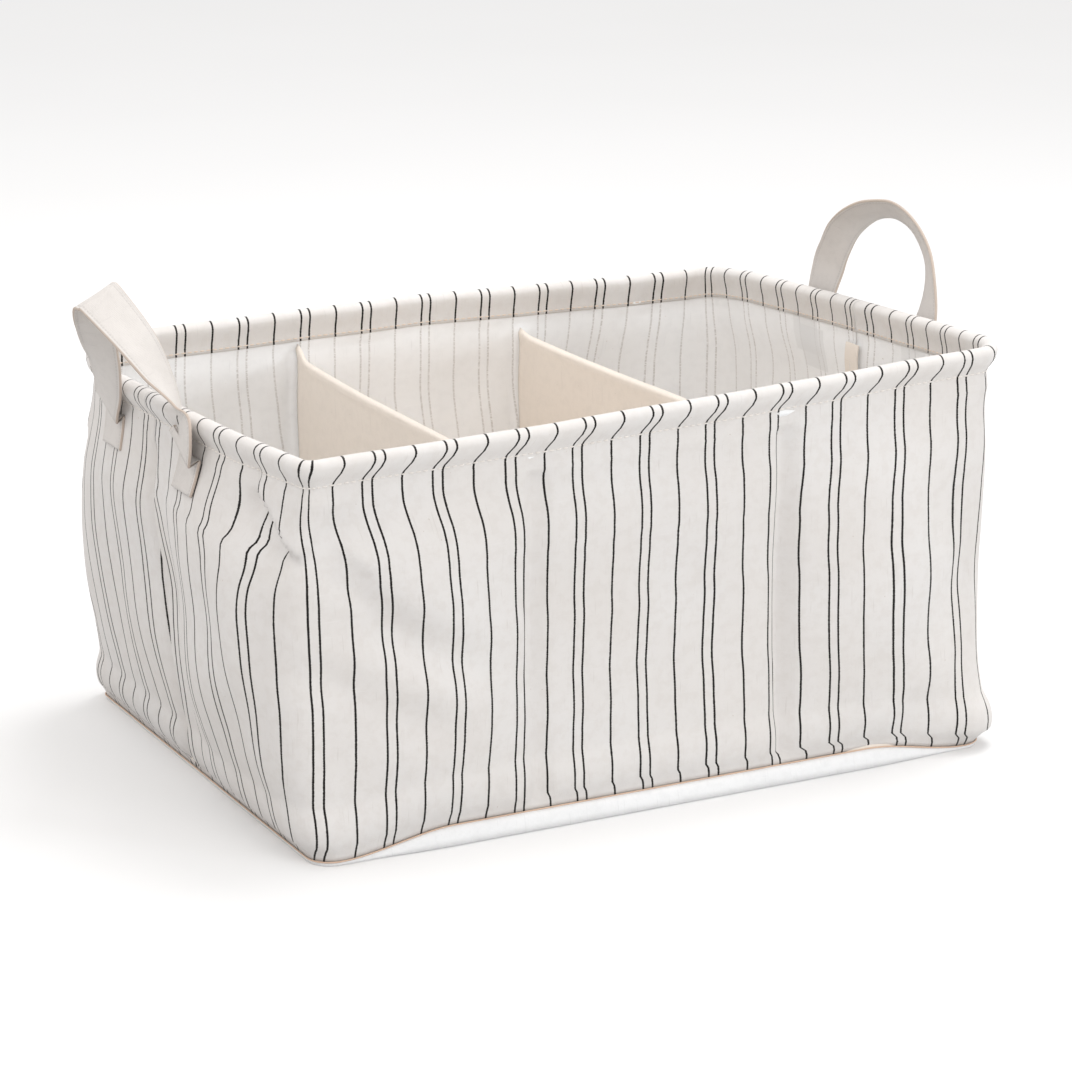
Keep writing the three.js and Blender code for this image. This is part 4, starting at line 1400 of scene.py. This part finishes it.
class BASKET_OT_stitching(bpy.types.Operator):
    """Stitch the hem round the rim, and run the thread that shows round the base"""
    bl_idname = "basket.stitching"
    bl_label = "Stitching"

    def execute(self, context):
        self.hem()
        self.base_line()
        return {"FINISHED"}

    def stitches(self, name, rows, thread):
        """Short rounded stitches from pairs of ends and the normal that they lie on."""
        points, faces = [], []
        # each ring's place along a stitch and its half width
        rings = ((0, 0.12), (0.18, 0.34), (0.5, 0.42), (0.82, 0.34), (1, 0.12))
        count = 6
        for start, end, normal in rows:
            run = end - start
            if run.length < SHORTEST_STITCH:
                continue
            side = (run / run.length).cross(normal).normalized()
            faces += tube_faces(len(rings), count, first=len(points))
            for place, size in rings:
                centre = start.lerp(end, place) + normal * (0.05 + 0.25 * math.sin(HALF_TURN * place))
                for k in range(count):
                    turn = 2 * HALF_TURN * k / count
                    across = side * size * math.cos(turn)
                    points.append(centre + across + normal * size * 0.8 * math.sin(turn))
        obj = new_object(name, points, faces)
        finish_with(obj, cloth_materials()[thread])
        weld_and_face_out(obj)
        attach(obj, "basket")

    def hem(self):
        """One row of stitches round the inside of the hem, and the same row outside."""
        step = settings().stitch / MM
        inner, outer = [], []
        for panel in (FRONT_PANEL, BACK_PANEL):
            for n in range(int((panel.places[-1] - panel.places[0]) / step)):
                (face_a, back_a, out_a), (face_b, back_b, _) = (
                    self.hem_spot(panel, panel.places[0] + (n + part) * step) for part in (0.12, 0.85)
                )
                inner.append((face_a, face_b, -out_a.normalized()))
                outer.append((back_a, back_b, out_a.normalized()))
        self.stitches("hem_stitches_inside", inner, "sewing_thread")
        self.stitches("hem_stitches_outside", outer, "pale_thread")

    def hem_spot(self, panel, place):
        """The flap's face, the crease's face and the normal at a place along the cloth."""
        places = panel.places
        index = min(range(len(places)), key=lambda i: abs(places[i] - place))
        first = max(0, min(len(places) - 2, index if places[index] <= place else index - 1))
        t = clamp((place - places[first]) / (places[first + 1] - places[first]))
        flap = 2 * CANVAS + SEWN_GAP + HEM_CREASE
        rows = []
        for i in (first, first + 1):
            _, _, out_x, out_y = panel.stations[i](1)
            recess = panel.recess(i)
            face, _ = panel.hem_point(i, flap, FLAP_STITCH, recess * FLAP_SHARE)
            fallen = recess * ease((CREASE_DROP - 5) / (HEM_FADE - 5))
            back, _ = panel.hem_point(i, HEM_CREASE, CREASE_DROP, fallen)
            rows.append((face, back, Vector((out_x, out_y, 0))))
        return [a.lerp(b, t) for a, b in zip(*rows)]

    def base_line(self):
        """The pinkish thread that shows where the base is sewn to the walls."""
        path = []
        for station in base_loop():
            x, y, out_x, out_y = station(0)
            out = Vector((out_x, out_y, 0))
            centre = Vector((x, y, lip_height(x, out_y) + 0.1)) + out * 0.5
            path.append((centre, out, UP))
        section = [(-0.5, 0), (0, -0.4), (0.45, 0), (0, 0.4)]
        obj = swept("base_seam_line", path, section, closed=True)
        finish_with(obj, cloth_materials()["seam_thread"])
        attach(obj, "basket")


class BASKET_OT_stage(bpy.types.Operator):
    """Set the floor, the light and the camera"""
    bl_idname = "basket.stage"
    bl_label = "Stage"

    def execute(self, context):
        self.camera(context)
        self.floor()
        self.lights(context)
        return {"FINISHED"}

    def camera(self, context):
        camera = bpy.data.cameras.new("Camera")
        camera.sensor_width = 36
        camera.sensor_fit = "HORIZONTAL"
        camera.lens = context.scene.basket_stage.lens
        camera.clip_end = 50
        obj = bpy.data.objects.new("Camera", camera)
        context.scene.collection.objects.link(obj)
        context.scene.camera = obj
        yaw, pitch, roll = (math.radians(angle) for angle in CAMERA_TURN)
        flat = math.cos(pitch)
        ahead = Vector((math.sin(yaw) * flat, math.cos(yaw) * flat, -math.sin(pitch)))
        right = Vector((math.cos(yaw), -math.sin(yaw), 0))
        up = right.cross(ahead)
        level = right * math.cos(roll) + up * math.sin(roll)
        upright = up * math.cos(roll) - right * math.sin(roll)
        turn = Matrix((level, upright, -ahead)).transposed().to_4x4()
        obj.matrix_world = Matrix.Translation(Vector(CAMERA_PLACE) * MM) @ turn

    def floor(self):
        bpy.ops.object.select_all(action="DESELECT")
        bpy.ops.mesh.primitive_grid_add(x_subdivisions=12, y_subdivisions=12, size=6)
        floor = bpy.context.object
        floor.name = "studio_floor"
        finish = Finish("studio_floor")
        grain = finish.noise(finish.place(), 3, 1)
        tone = finish.mix_color(grain, *((grey, grey, grey) for grey in FLOOR_SEEN))
        path = finish.add("ShaderNodeLightPath")
        seen = path["Is Camera Ray"].at_least(path["Is Glossy Ray"])
        seen = seen.at_least(path["Is Transmission Ray"])
        tone = finish.mix_color(seen, (FLOOR_BOUNCE,) * 3, tone)
        shader = finish.add("ShaderNodeBsdfDiffuse", None, {"Color": tone})["BSDF"]
        glow = finish.add("ShaderNodeEmission", None, {"Color": (1, 1, 1), "Strength": seen * FLOOR_GLOW})
        finish.end_with(finish.add("ShaderNodeAddShader", None, [shader, glow["Emission"]])["Shader"])
        finish_with(floor, finish.material)

    def lights(self, context):
        world = bpy.data.worlds.new("Studio")
        context.scene.world = world
        stage = context.scene.basket_stage
        nodes = Nodes(world, "ShaderNodeOutputWorld")
        light = {"Color": (1, 0.99, 0.985), "Strength": stage.sky}
        sky = nodes.add("ShaderNodeBackground", None, light)
        seen = nodes.add("ShaderNodeBackground", None, {"Color": (1, 1, 1)})
        in_view = nodes.add("ShaderNodeLightPath")["Is Camera Ray"]
        values = [in_view, sky["Background"], seen["Background"]]
        nodes.end_with(nodes.add("ShaderNodeMixShader", None, values)["Shader"])
        self.area("key_light", (1.5, -2.2, 0.56), 0.4, stage.key, (0.93, 0.97, 1))
        self.area("main_light", (0.3, -2.2, 1.4), 1.0, stage.main, (1, 0.985, 0.965))
        self.area("top_light", (0.5, 0.2, 1.7), 0.9, stage.top, (1, 1, 1))
        self.area("fill_light", (-1.3, -0.3, 1.7), 1.0, stage.fill, (1, 0.96, 0.92))

    def area(self, name, place, size, power, color):
        """A round lamp at a place in metres, aimed at the middle of the basket."""
        light = bpy.data.lights.new(name, "AREA")
        light.shape = "DISK"
        light.size = size
        light.energy = power
        light.color = color
        obj = bpy.data.objects.new(name, light)
        bpy.context.scene.collection.objects.link(obj)
        aim = Vector((0, 0, 0.1)) - Vector(place)
        obj.location = place
        obj.rotation_euler = aim.to_track_quat("-Z", "Y").to_euler()


class BASKET_PT_panel(bpy.types.Panel):
    bl_idname = "BASKET_PT_panel"
    bl_label = "Striped Basket"
    bl_space_type = "VIEW_3D"
    bl_region_type = "UI"
    bl_category = "Basket"

    def draw(self, context):
        layout = self.layout
        for group in (context.scene.basket, context.scene.basket_stage):
            for name in group.__annotations__:
                layout.prop(group, name)
        for operator in OPERATORS:
            layout.operator(operator.bl_idname)


OPERATORS = (
    BASKET_OT_stage,
    BASKET_OT_walls,
    BASKET_OT_base,
    BASKET_OT_dividers,
    BASKET_OT_straps,
    BASKET_OT_stitching,
)
CLASSES = (BasketSettings, StageSettings, *OPERATORS, BASKET_PT_panel)


def register():
    for cls in CLASSES:
        bpy.utils.register_class(cls)
    bpy.types.Scene.basket = PointerProperty(type=BasketSettings)
    bpy.types.Scene.basket_stage = PointerProperty(type=StageSettings)


def unregister():
    del bpy.types.Scene.basket_stage
    del bpy.types.Scene.basket
    for cls in reversed(CLASSES):
        bpy.utils.unregister_class(cls)


def main():
    register()
    bpy.ops.basket.stage()
    bpy.ops.basket.walls()
    bpy.ops.basket.base()
    bpy.ops.basket.dividers()
    bpy.ops.basket.straps()
    bpy.ops.basket.stitching()
    bpy.context.scene.view_settings.view_transform = "Standard"
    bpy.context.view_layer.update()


if __name__ == "__main__":
    main()
